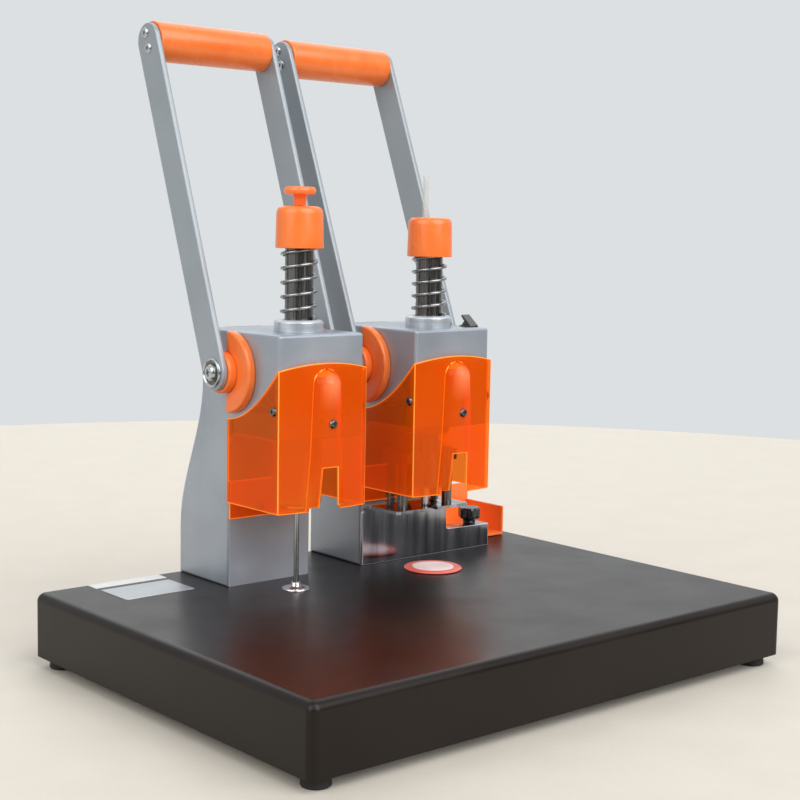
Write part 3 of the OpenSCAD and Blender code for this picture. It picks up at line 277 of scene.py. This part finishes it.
MATERIALS = {
    # Silver metallic lacquer on cast aluminium: even satin grey, and its edges catch a soft light.
    # Its flakes are 0.05 mm; the fleck is drawn at 1.1 mm so that it shows at all.
    "silver_paint": sprayed("silver_lacquer", "#9CA4AE", "#ACB4BE", (0.32, 0.4), 1.1, 2.4, 0.012,
                            Metallic=0.45),
    # Turned aluminium: paler than the lacquer, with a soft sheen round it.
    "collar": lined("turned_aluminium", "#C6CCD3", "#D6DCE2", (0.28, 0.36), (30, 30, 0.7),
                    Metallic=0.7),
    # Black powder coat on folded sheet: near black, half gloss, with a fine pebbled skin.
    "base_black": sprayed("black_powder_coat", "#140D09", "#1B130E", (0.28, 0.38), 0.9, 1.3, 0.02,
                          IOR=1.33),
    # Zinc-plated sheet that closes the base: dull grey with rolling lines.
    "floor_steel": lined("zinc_plated_sheet", "#84878A", "#A6A9AC", (0.42, 0.56), (60, 1.2, 60),
                         Metallic=1.0),
    # Moulded rubber: matt black, slightly dusty.
    "foot_rubber": moulded("black_rubber", "#161514", "#232120", (0.75, 0.9), 0.8, 0.04, IOR=1.5),
    # Satin lacquer on flat steel bar: smooth light grey, brighter along its rounded edges.
    "arm_steel": sprayed("satin_lacquered_bar", "#969EA5", "#A0A8AE", (0.32, 0.38), 1.3, 3.0, 0.01,
                         Metallic=0.3),
    # Moulded ABS: warm orange, satin, with the mould's fine spark-eroded grain.
    "orange_plastic": moulded("orange_abs", "#F87730", "#FE823A", (0.22, 0.3), 0.6, 0.012,
                              IOR=1.53),
    # Moulded polystyrene: a brighter orange with a glossy skin.
    "gauge_orange": moulded("orange_polystyrene", "#FF7830", "#FF843C", (0.18, 0.26), 0.9, 0.006,
                            IOR=1.5),
    # Fluorescent polycarbonate sheet: glossy, with a painted glow and the casting showing through.
    "guard_orange": tinted_sheet("fluorescent_polycarbonate_painted_glow", "#FF760C", "#FF8216", (0.1, 0.16),
                                 "#FFCA80", 0.66, "#FF6C0C", 0.34, "#FFAE78"),
    # Sawn edges and ends of that sheet, a painted highlight: paler than the faces, with a stronger
    # painted glow.
    "guard_edge": tinted_sheet("sawn_polycarbonate_painted_highlight", "#FFA83C", "#FFB854", (0.26, 0.36),
                               "#FFCA80", 0.1, "#FFA038", 0.55, "#FFAE78"),
    # Ground steel rod: dark grey as painted reflection, with drawn lines and painted vertical
    # highlights.
    "dark_steel": lined("ground_steel_painted_reflection", "#5C5A58", "#868480", (0.2, 0.32), (1.0, 1.0, 40),
                        Metallic=1.0),
    # Drawn steel wire, of the springs and the needle: grey, with a bright line of light along it.
    "spring_steel": lined("drawn_spring_wire", "#8C8E90", "#AAACAE", (0.14, 0.22), (0.8, 0.8, 0.8),
                          Metallic=1.0),
    # Polished stainless, near mirror: upright streaks of dark and light, partly polish and partly
    # painted reflections.
    "mirror_steel": lined("polished_stainless_painted_reflections", "#7C7E86", "#C2C4CA", (0.1, 0.18), (7.0, 40, 80),
                          Metallic=1.0),
    # Ground edges of that plate: a pale, satin line.
    "ground_edge": lined("ground_stainless", "#C4C7CA", "#D2D5D8", (0.34, 0.42), (2.0, 2.0, 2.0),
                         Metallic=0.6),
    # Moulded phenolic: deep gloss black.
    "black_plastic": moulded("black_phenolic", "#0E0E0E", "#171717", (0.1, 0.18), 1.0, 0.006,
                             IOR=1.6),
    # Polypropylene: waxy white, faintly pink from its rim, scuffed by the punch.
    "pad_white": moulded("white_polypropylene", "#F0DFE1", "#F9EEED", (0.42, 0.55), 1.2, 0.02,
                         IOR=1.49),
    # Polypropylene: soft red.
    "pad_red": moulded("red_polypropylene", "#E5685A", "#EE7769", (0.36, 0.46), 0.9, 0.012,
                       IOR=1.49),
    # Clear nylon tube: glassy, slightly milky.
    "clear_tube": moulded("clear_nylon", "#D6DDDA", "#E4EAE7", (0.06, 0.14), 2.0, 0.006,
                          IOR=1.4, Alpha=0.34),
    # Zinc-plated steel: bright and a little uneven.
    "bright_steel": lined("bright_zinc_steel", "#B6B9BC", "#C6C8CA", (0.18, 0.26), (2.0, 2.0, 6.0),
                          Metallic=1.0),
    # Anodised aluminium plate: pale grey with lines along its length, left bare.
    "bare_plate": lined("anodised_aluminium", "#A2A6AA", "#B7BBBF", (0.3, 0.4), (60, 0.8, 1),
                        Metallic=0.8),
    # Matt white vinyl strip, left bare.
    "bare_strip": moulded("white_vinyl", "#D6D8D8", "#E2E3E2", (0.4, 0.5), 1.5, 0.008, IOR=1.5),
}


def stand(obj, body, slot, *nodes):
    """Rides a piece on a body, in place of the CAD nodes that are named; slot is not used."""
    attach(obj, body)
    if nodes:
        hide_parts(*nodes)
    return obj


def piece(name, bm, materials, crease=35):
    """A mesh object from a bmesh, smooth but for edges sharper than crease."""
    bmesh.ops.recalc_face_normals(bm, faces=bm.faces)
    mesh = bpy.data.meshes.new(name)
    bm.to_mesh(mesh)
    bm.free()
    for material in materials:
        mesh.materials.append(material)
    for face in mesh.polygons:
        face.use_smooth = True
    mesh.set_sharp_from_angle(angle=math.radians(crease))
    obj = bpy.data.objects.new(name, mesh)
    bpy.context.scene.collection.objects.link(obj)
    return obj


def soften(node, width_mm, segments=2, angle=30, crease=35, finishes=(), pick=None, mark=None,
           full=False):
    """A copy of a CAD node with its long sharp edges rounded, or those that pick chooses; full
    keeps their width beside short edges. The first of finishes is for those edges, and mark gives
    a face the number of its finish."""
    bm = bmesh.new()
    bm.from_mesh(frame["nodes"][node].data)
    bmesh.ops.remove_doubles(bm, verts=bm.verts, dist=WELD)
    bmesh.ops.dissolve_limit(bm, angle_limit=math.radians(FLAT_DEG), verts=bm.verts, edges=bm.edges)
    sharp = [e for e in bm.edges if len(e.link_faces) == 2
             and e.calc_face_angle(0) > math.radians(angle) and e.calc_length() > SHORT_MM * MM
             and (pick is None or pick((e.verts[0].co + e.verts[1].co) / 2 / MM))]
    if width_mm and sharp:
        bmesh.ops.bevel(bm, geom=sharp, offset=width_mm * MM, offset_type="OFFSET",
                        segments=segments, profile=0.5, affect="EDGES", clamp_overlap=not full,
                        material=1 if finishes else -1)
        bmesh.ops.remove_doubles(bm, verts=bm.verts, dist=WELD_BEVEL)
        bmesh.ops.dissolve_degenerate(bm, dist=WELD_BEVEL, edges=bm.edges)
    if mark:
        for face in bm.faces:
            number = mark(face.calc_center_median() / MM, face.normal)
            face.material_index = number or face.material_index
    slot = SLOT_OF[node]
    obj = piece(node + "_finished", bm, [MATERIALS[name] for name in (slot, *finishes)], crease)
    obj.modifiers.new("flat_faces", "WEIGHTED_NORMAL").keep_sharp = True
    return stand(obj, BODY_OF[node], slot, node)


def rounded(corners, steps=5, closed=False):
    """Outline through corners (x, y, radius), each one rounded by its radius."""
    points = []
    count = len(corners)
    for i, (x, y, radius) in enumerate(corners):
        here = Vector((x, y))
        if radius <= 0 or (not closed and i in (0, count - 1)):
            points.append(here)
            continue
        back = Vector(corners[i - 1][:2]) - here
        ahead = Vector(corners[(i + 1) % count][:2]) - here
        cut = min(radius / math.tan(back.angle(ahead) / 2),
                  CORNER_SHARE * back.length, CORNER_SHARE * ahead.length)
        first, last = here + back.normalized() * cut, here + ahead.normalized() * cut
        for k in range(steps + 1):
            t = k / steps
            points.append(first * (1 - t) ** 2 + here * 2 * t * (1 - t) + last * t * t)
    return points


def head_seat(head, x=0.0, y=0.0, z=0.0, aim=Matrix.Identity(4)):
    """Seat on a plunger's axis at the base's top, moved in millimetres; aim turns its Z axis."""
    place = Vector((SIDE[head] * AXIS_X + x, AXIS_Y + y, BASE_TOP + z)) * MM
    return Matrix.Translation(place) @ aim @ Matrix.Scale(MM, 4)


def lever_seat(head, out, up=0.0):
    """Seat on a lever, out sideways from its middle, up from its pivot; its Z axis points out."""
    pivot = head_seat(head, 0, PIVOT_BACK, PIVOT_UP)
    swing = Matrix.Rotation(math.radians(-LEAN[head]), 4, "X")
    outward = Matrix.Rotation(math.copysign(math.pi / 2, out), 4, "Y")
    return pivot @ swing @ Matrix.Translation((out, 0, up)) @ outward


def on_heads(places):
    """Seats of the same screws on both heads."""
    return [head_seat(head, *place, aim) for head in SIDE for place, aim in places]


def circle(sides):
    """Angles of the corners of a round section."""
    return [2 * math.pi * k / sides for k in range(sides)]


def loft(bm, loops, mark=0):
    """Faces between loops of points; a loop of one point closes to it."""
    rings = [[bm.verts.new(p) for p in loop] for loop in loops]
    for low, high in zip(rings, rings[1:]):
        count = max(len(low), len(high))
        for k in range(count):
            m = (k + 1) % count
            corners = [low[k % len(low)], low[m % len(low)],
                       high[m % len(high)], high[k % len(high)]]
            corners = [v for i, v in enumerate(corners) if v not in corners[:i]]
            if len(corners) > 2:
                bm.faces.new(corners).material_index = mark
    return rings


def turn(bm, seat, outline, sides=64, lobes=0, lobe_mm=0.0, mark=0):
    """Turns an outline of (radius, height) about the seat's Z axis; lobes wave its radius."""
    loops = []
    for r, h in outline:
        if r < 1e-6:
            loops.append([seat @ Vector((0, 0, h))])
            continue
        wave = lobe_mm if lobes and r > LOBES_FROM else 0
        ring = [(r + wave * math.cos(lobes * a), a) for a in circle(sides)]
        loops.append([seat @ Vector((w * math.cos(a), w * math.sin(a), h)) for w, a in ring])
    loft(bm, loops, mark)


def turned(name, node, seat, corners, sides=64, crease=40, steps=5, finish=None, **wave):
    """A turned piece that stands for one CAD node, in its slot's finish or one of its own."""
    bm = bmesh.new()
    turn(bm, seat, rounded(corners, steps), sides, **wave)
    bmesh.ops.remove_doubles(bm, verts=bm.verts, dist=WELD_TURNED)
    slot = SLOT_OF[node]
    obj = piece(name, bm, [MATERIALS[finish or slot]], crease)
    return stand(obj, BODY_OF[node], slot, node)


def cross(angle, reach, half):
    """Radius of a cross-shaped driver recess at an angle."""
    a = abs((angle + math.pi / 4) % (math.pi / 2) - math.pi / 4)
    return reach / math.cos(a) if math.tan(a) <= half / reach else half / math.sin(a)


def hexagon(angle, reach):
    """Radius of a six-sided driver recess at an angle."""
    return reach / math.cos((angle + math.pi / 6) % (math.pi / 3) - math.pi / 6)


def screw(bm, seat, outline, recess, depth, sides=48, taper=0.8):
    """A screw head: its outline from the rim inward, and a driver recess with sloping walls."""
    angles = circle(sides)
    top = outline[-1][1]
    shape = [[(r, h)] * sides for r, h in outline]
    shape.append([(recess(a), top) for a in angles])
    shape.append([(recess(a) * taper, top - depth) for a in angles])
    loops = [[seat @ Vector((r * math.cos(a), r * math.sin(a), h))
              for (r, h), a in zip(loop, angles)] for loop in shape]
    rings = loft(bm, loops + [[seat @ Vector((0, 0, top - depth))]])
    bm.faces.new(rings[0])


def screws(name, node, places, outline, recess, depth, washer=(), slot=None):
    """All the screw heads of one CAD node, each on its seat. A washer has two outlines, and the
    second, its cup, is in dark steel as a painted dark reflection."""
    bm = bmesh.new()
    for seat in places:
        screw(bm, seat, rounded(outline, 3), recess, depth)
        for mark, ring in enumerate(washer):
            turn(bm, seat, rounded(ring, 3), 48, mark=mark)
    bmesh.ops.remove_doubles(bm, verts=bm.verts, dist=WELD_TURNED)
    slot = slot or SLOT_OF[node]
    finishes = [MATERIALS[slot]] + ([MATERIALS["dark_steel"]] if washer else [])
    return stand(piece(name, bm, finishes, 32), BODY_OF[node], slot, node)


def coil(name, node, seat, height, d, wire, turns, start_deg, sides=12, steps=36, lead=0.6):
    """A wound spring whose ends run flat onto their seats, each over lead of a turn."""
    rise = 2.5 * wire
    low = wire / 2
    pitch = (height - 2 * rise) / turns
    # The CAD's spring turns by this much in its end bend, so the turns of both lie together.
    bend = math.degrees(3 * wire / d)
    # Each end's climb is a cubic, level at its seat and as steep as the turns where it meets them.
    cubic = pitch * lead / (rise - low) - 2
    square = 1 - cubic

    def climb(u):
        return low + (rise - low) * (square * u * u + cubic * u ** 3)

    route = []
    for i in range(round(steps * (turns + 2 * lead)) + 1):
        t = i / steps - lead
        if t < 0:
            z = climb(1 + t / lead)
        elif t > turns:
            z = height - climb(1 - (t - turns) / lead)
        else:
            z = rise + pitch * t
        angle = math.radians(start_deg + bend + 360 * t)
        route.append(Vector((d / 2 * math.cos(angle), d / 2 * math.sin(angle), z)))
    loops = []
    for i, p in enumerate(route):
        ahead = (route[min(i + 1, len(route) - 1)] - route[max(i - 1, 0)]).normalized()
        out = Vector((p.x, p.y, 0)).normalized()
        across = ahead.cross(out)
        loops.append([seat @ (p + (out * math.cos(q) + across * math.sin(q)) * wire / 2)
                      for q in circle(sides)])
    bm = bmesh.new()
    rings = loft(bm, loops)
    bm.faces.new(rings[0])
    bm.faces.new(rings[-1])
    slot = SLOT_OF[node]
    return stand(piece(name, bm, [MATERIALS[slot]], 50), BODY_OF[node], slot, node)


def plate(name, corner, size, radius, thick, material, slot):
    """A thin plate with round corners stuck on the base's top; corner and size in millimetres."""
    (x0, y0), (w, d) = corner, size
    rim = rounded([(x0, y0, radius), (x0 + w, y0, radius),
                   (x0 + w, y0 + d, radius), (x0, y0 + d, radius)], closed=True)
    middle = Vector((x0 + w / 2, y0 + d / 2))
    levels = [(0.0, 0.0), (0.0, thick * 0.6), (thick * 0.5, thick)]
    loops = [[Vector((*(p + (middle - p).normalized() * inset), BASE_TOP + z)) * MM for p in rim]
             for inset, z in levels]
    bm = bmesh.new()
    rings = loft(bm, loops)
    bm.faces.new(rings[0])
    bm.faces.new(rings[-1])
    return stand(piece(name, bm, [MATERIALS[material]]), "frame", slot)


def casting_edges(head):
    """Chooses a casting's outer edges and leaves its bores and holes sharp."""
    # In its sides, each with its reach: shaft's bore, two holes for pegs, one for a guard screw.
    holes = [(PIVOT_BACK, PIVOT_UP, 8.5), (PIVOT_BACK - PEG, PIVOT_UP + PEG, 3.5),
             (PIVOT_BACK - PEG, PIVOT_UP - PEG, 3.5), (*GUARD_SIDE, 3.0)]

    def pick(p):
        x, y, z = abs(p.x - SIDE[head] * AXIS_X), p.y - AXIS_Y, p.z - BASE_TOP
        if any(math.hypot(y - hole_y, z - hole_z) < reach for hole_y, hole_z, reach in holes):
            return False
        front, back = y < HEAD_FRONT + 1, y > HEAD_BACK - 1
        on_top, below = z > HEAD_TOP - 0.5, z < HEAD_UNDER + 0.5
        return x > HALF_HEAD - 0.1 or (on_top and (front or back)) or (below and front)
    return pick


def guard_edges(head):
    """Chooses a guard's edges and leaves its screw seats and the foot of its rib sharp."""
    rib_y, rib_half, rib_low, rib_high = -31, 17, 62, 149
    notch_half, notch_top = 9, 100
    seat_reach = 7

    def pick(p):
        x, y, z = p.x - SIDE[head] * AXIS_X, p.y - AXIS_Y, p.z - BASE_TOP
        rib = y < rib_y and abs(x) < rib_half and rib_low < z < rib_high
        notch = abs(x) <= notch_half and z <= notch_top
        if rib and not notch:
            return False
        return all(math.dist((x, y, z), place) > seat_reach for place, _ in GUARD_SCREWS)
    return pick


def guard_faces(head):
    """Gives the cut ends of a guard's sheet the finish with a painted highlight: the rear and upper
    ends of its sides, the upper end of its front, and all that faces down."""
    def mark(p, normal):
        x, y = abs(p.x - SIDE[head] * AXIS_X), p.y - AXIS_Y
        if x > HALF_HEAD + 0.3:
            painted_highlight_end = abs(normal.x) < 0.3 and normal.y > -0.7
        else:
            painted_highlight_end = normal.z > 0.7 and y > -32
        return 1 if painted_highlight_end or normal.z < -0.7 else 0
    return mark


for node, obj in frame["nodes"].items():
    obj.data.materials.clear()
    obj.data.materials.append(MATERIALS["spring_steel" if node == "needle" else SLOT_OF[node]])

soften("base_shell", 0)
soften("feet", 0.5)
soften("fence", 0.7, 3, finishes=["ground_edge"], full=True)
soften("side_gauge", 0.5, 3)
soften("press_plate", 0.35)
soften("punch_holder", 0.5)
soften("tube_blade", 0.2)
for head in SIDE:
    soften(head + "_casting", 2.2, 4, pick=casting_edges(head))
    soften(head + "_cover", 0.6, full=True)
    soften(head + "_shields", 0.6, angle=40, crease=50)
    # A guard's rounded edges and the ends chosen by guard_faces take guard_edge, a painted
    # highlight.
    soften(head + "_guard", 0.6, angle=38, crease=38, finishes=["guard_edge"],
           pick=guard_edges(head), mark=guard_faces(head), full=True)
    for arm in ("_inner_arm", "_outer_arm"):
        soften(head + arm, 1.0, 3)

    # Collar on the head, with a rounded upper edge and a lip round the plunger.
    turned(head + "_collar", head + "_bush", head_seat(head), [
        (BUSH_BORE, BUSH_LOW, 0), (BUSH_R, BUSH_LOW, 0), (BUSH_R, HEAD_TOP, 0),
        (16.9, HEAD_TOP, 0.3), (17, COLLAR_TOP - 1.6, 0.7), (15.4, COLLAR_TOP, 0.5),
        (10.7, COLLAR_TOP, 0.4), (BUSH_BORE, COLLAR_TOP - 0.8, 0), (BUSH_BORE, BUSH_LOW, 0)],
        finish="collar")

    # Grip, turned with eased ends.
    turned(head + "_handgrip", head + "_grip", lever_seat(head, 0.0, LEVER), [
        (0, -ARM_X, 0), (GRIP_R, -ARM_X, 0.7), (GRIP_R, ARM_X, 0.7), (0, ARM_X, 0)], 72)

    # Hub boss on both ends of the shaft.
    bm = bmesh.new()
    for out in (-1, 1):
        turn(bm, lever_seat(head, out * (HALF_HEAD + HUB_GAP)), rounded([
            (HUB_BORE, 0, 0), (HUB_R, 0, 0.5), (HUB_R, HUB_T, 1.6), (HUB_BORE, HUB_T, 0),
            (HUB_BORE, 0, 0)]), 72)
    bmesh.ops.remove_doubles(bm, verts=bm.verts, dist=WELD_TURNED)
    stand(piece(head + "_bosses", bm, [MATERIALS["orange_plastic"]], 40), head + "_lever",
          "orange_plastic", head + "_hubs")

    # Pivot screws: a cupped washer, bright rim and a cup in painted dark reflection; a domed,
    # cross-recessed head.
    screws(head + "_pivot_heads", head + "_pivot_screws",
           [lever_seat(head, out * (ARM_X + ARM_T)) for out in (-1, 1)],
           [(5.75, 0.4, 0), (5.75, 1.9, 0.5), (4.6, 3.4, 1.5), (2.9, 4.1, 0.8), (2.6, 4.15, 0)],
           lambda a: cross(a, 2.5, 0.6), 1.7,
           [[(8.3, 0, 0), (10.3, 0, 0), (10.3, 1, 0.5), (9.7, 1.9, 0.5), (9, 1.9, 0.3),
             (8.3, 1.2, 0), (8.3, 0, 0)],
            [(0, 0, 0), (8.27, 0, 0), (8.27, 1.2, 0), (6.1, 0.5, 0.4), (0, 0.5, 0)]])

    # Grip screws: low button heads with a six-sided recess.
    screws(head + "_grip_heads", head + "_grip_screws",
           [lever_seat(head, out * (ARM_X + ARM_T), LEVER + up)
            for out in (-1, 1) for up in (-GRIP_SCREW_OFF, GRIP_SCREW_OFF)],
           [(3.8, 0, 0), (3.8, 0.5, 0.3), (2.9, 1.3, 0.6), (1.9, 1.4, 0)],
           lambda a: hexagon(a, 1.35), 1.0)

    # Return spring between the collar and the cap.
    height = CAP_RIM[head] + CAP_ROOF - COLLAR_TOP
    spring = coil(head + "_return_coil", head + "_spring", head_seat(head, z=COLLAR_TOP), height,
                  **RETURN_SPRING)
    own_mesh(spring)

# Caps: moulded, with a full upper edge and a slight draught. The left one is open for the needle.
for head, hole in CAP_HOLE.items():
    rim = CAP_RIM[head]
    roof, seat, top = rim + CAP_ROOF, rim + CAP_SEAT, rim + CAP_H
    turned(head + "_push_cap", head + "_cap", head_seat(head), [
        (POCKET_R, rim, 0), (16.5, rim, 0.6), (16.4, rim + 5, 0), (15.9, top, 5.4),
        (hole, top, 0.4 if hole else 0), (hole, seat, 0), (PLUNGER_R, seat, 0),
        (PLUNGER_R, roof, 0), (POCKET_R, roof, 0), (POCKET_R, rim, 0)], 72)

# Knob on the needle: a stem that flares into a round-edged button.
foot = CAP_RIM["left"] + CAP_H + KNOB_GAP
turned("needle_button", "needle_knob", head_seat("left"), [
    (0, foot, 0), (4.3, foot, 0.4), (4.3, foot + 5, 1.6), (5.4, foot + 6.9, 1.5),
    (10.2, foot + 7.6, 1.0), (11.2, foot + 9.9, 2.2), (10, foot + 12.5, 1.4), (6, foot + 12.8, 3),
    (0, foot + 12.8, 0)], 64, 60)

# Lower die in the base's top: a flange with a raised socket for the needle.
turned("rivet_die", "lower_die", head_seat("left"), [
    (0, -14.4, 0), (6, -14.4, 0), (6, 0, 0), (10, 0, 0.3), (9.4, 1.1, 0.4), (6.2, 1.2, 0.3),
    (5.4, 1.9, 0.3), (3.9, 2.2, 0.3), (3.3, 4.8, 0.4), (2.2, 5, 0.2), (1.85, 4.4, 0),
    (1.85, -10.4, 0), (0, -10.4, 0)])

# Cutting pad: a waxy disc with turned rings, in a soft red rim.
turned("cutting_disc", "pad_disc", head_seat("right", *PAD_AT), [
    (0, -6, 0), (4, -6, 0), (4, 0.4, 0), (15.6, 0.4, 0), (15.6, 1.7, 0.2), (15.2, 2, 0.2),
    (12.4, 2, 0), (12.2, 1.85, 0), (11.8, 1.85, 0), (11.6, 2, 0), (8.4, 2, 0), (8.2, 1.85, 0),
    (7.8, 1.85, 0), (7.6, 2, 0), (0, 2, 0)], 96, 30)
turned("cutting_rim", "pad_rim", head_seat("right", *PAD_AT), [
    (15.6, 0.4, 0), (21.5, 0.4, 0.2), (21.5, 1.1, 0.5), (20.4, 1.7, 0.5), (15.8, 1.8, 0.2),
    (15.6, 1.5, 0), (15.6, 0.4, 0)], 96)

# Thumbscrew with a lobed head on a tapered neck.
turned("lobed_thumbscrew", "thumbscrew", head_seat("right", *THUMB_AT), [
    (0, 2.8, 0), (3, 2.8, 0), (3, 18.4, 0), (5, 18.4, 0.3), (5.2, 20.4, 0.6), (8, 22.3, 0.8),
    (8.5, 23.4, 0.6), (8.5, 29.2, 0.8), (7.6, 30.6, 0.7), (5.6, 31, 0.5), (0, 31, 0)], 96, 50,
    lobes=6, lobe_mm=0.5)

# Clear tube that carries the chips up through the right cap.
turned("chip_tube_clear", "chip_tube", head_seat("right", *TUBE_AT), [
    (1.7, 247.5, 0), (2.3, 247.5, 0), (2.3, 289.5, 0.15), (1.7, 289.5, 0.15), (1.7, 247.5, 0)], 32)

# Press springs over their pins.
height = PRESS_TOP - PRESS_LOW
for name, x in (("press_spring_left", -PRESS_X), ("press_spring_right", PRESS_X)):
    spring = coil(name + "_coil", name, head_seat("right", x, PRESS_Y, PRESS_LOW), height,
                  **PRESS_SPRING)
    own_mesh(spring)

# Screws of the guards and of the rear covers, with cross recesses.
screws("guard_screw_heads", "guard_screws", on_heads(GUARD_SCREWS),
       [(3.2, 0, 0), (3.2, 0.5, 0.2), (2.5, 1.6, 0.7), (1.9, 1.8, 0)],
       lambda a: cross(a, 1.7, 0.4), 1.1, slot="dark_steel")
screws("cover_screw_heads", "cover_screws", on_heads(COVER_SCREWS),
       [(3, 0, 0), (3, 0.8, 0.3), (2.2, 1.9, 0.7), (1.8, 2, 0)],
       lambda a: cross(a, 1.6, 0.4), 1.2)

# Bare plates on the base's top, behind the left head.
plate("bare_plate", (-171, 81.7), (54.8, 34), 1.5, 0.4, "bare_plate", "bright_steel")
plate("bare_strip", (-170.8, 122), (57, 12), 1.0, 0.25, "bare_strip", "pad_white")


def make_stage():
    """Plain pale floor and a soft, even studio."""
    floor = sprayed("matt_pale_floor", "#DAD3C7", "#DFD9CE", (0.55, 0.65), 4.0, 6.0, 0.01, IOR=1.4)
    bm = bmesh.new()
    bmesh.ops.create_circle(bm, cap_ends=True, segments=192, radius=1.35)
    piece("floor", bm, [floor])
    world = bpy.data.worlds.new("studio")
    bpy.context.scene.world = world
    world.use_nodes = True
    tree = world.node_tree
    tree.nodes.clear()
    # Even room light; the camera, metal and glass see a plain pale backdrop. The room's front side
    # is darker, which only metal and gloss show.
    pale = linear("#DCE0E2")
    where = add(tree, "ShaderNodeTexCoord")
    aim = add(tree, "ShaderNodeSeparateXYZ", links={"Vector": (where, "Generated")})
    height = add(tree, "ShaderNodeMath", links={0: (aim, "Y"), 1: (aim, "Z")}, operation="ADD")
    rear = add(tree, "ShaderNodeMapRange", {"From Min": -0.65, "From Max": 0.15},
               {"Value": (height, 0)})
    walls = add(tree, "ShaderNodeMix", {6: linear("#4A4C50"), 7: pale}, {0: (rear, "Result")},
                data_type="RGBA")
    path = add(tree, "ShaderNodeLightPath")
    shown = add(tree, "ShaderNodeMix", {6: pale}, {0: (path, "Is Glossy Ray"), 7: (walls, 2)},
                data_type="RGBA")
    room = add(tree, "ShaderNodeBackground", {"Color": linear("#F6F7FA"), "Strength": 0.28})
    backdrop = add(tree, "ShaderNodeBackground", {"Strength": 1.0}, {"Color": (shown, 2)})
    seen = add(tree, "ShaderNodeMath",
               links={0: (path, "Is Camera Ray"), 1: (path, "Is Glossy Ray")}, operation="MAXIMUM")
    clear = add(tree, "ShaderNodeMath",
                links={0: (seen, 0), 1: (path, "Is Transmission Ray")}, operation="MAXIMUM")
    mix = add(tree, "ShaderNodeMixShader", links={0: (clear, 0), 1: (room, 0), 2: (backdrop, 0)})
    add(tree, "ShaderNodeOutputWorld", links={"Surface": (mix, 0)})


def lamp(name, source, strength, spread, colour):
    """A wide, far lamp that lights from the direction of source; spread is its width in degrees."""
    data = bpy.data.lights.new(name, "SUN")
    data.energy = strength
    data.angle = math.radians(spread)
    data.color = linear(colour)[:3]
    obj = bpy.data.objects.new(name, data)
    obj.rotation_euler = (-Vector(source)).to_track_quat("-Z", "Y").to_euler()
    bpy.context.scene.collection.objects.link(obj)


def make_camera():
    """Camera at the photograph's place, with its small roll."""
    yaw, pitch, roll = (math.radians(v) for v in CAMERA_DEG)
    ahead = Vector((math.sin(yaw) * math.cos(pitch), math.cos(yaw) * math.cos(pitch),
                    -math.sin(pitch)))
    level = Vector((math.cos(yaw), -math.sin(yaw), 0))
    upright = level.cross(ahead)
    right = level * math.cos(roll) + upright * math.sin(roll)
    up = upright * math.cos(roll) - level * math.sin(roll)
    data = bpy.data.cameras.new("camera")
    data.sensor_width = SENSOR_MM
    data.lens = FOCAL_PX / PICTURE_PX * SENSOR_MM
    data.clip_start, data.clip_end = 0.05, 40
    obj = bpy.data.objects.new("camera", data)
    rows = [(*row, at) for *row, at in zip(right, up, -ahead, CAMERA_AT)]
    obj.matrix_world = Matrix((*rows, (0, 0, 0, 1)))
    bpy.context.scene.collection.objects.link(obj)
    bpy.context.scene.camera = obj


make_stage()
lamp("left_light", (-0.84, -0.1, 0.53), 1.35, 50, "#FFFDF8")
lamp("front_light", (0.1, -0.78, 0.61), 2.65, 60, "#FFFFFF")
lamp("rear_light", (0.4, 0.55, 0.73), 0.7, 60, "#FFFFFF")
make_camera()
bpy.context.scene.view_settings.view_transform = "Standard"
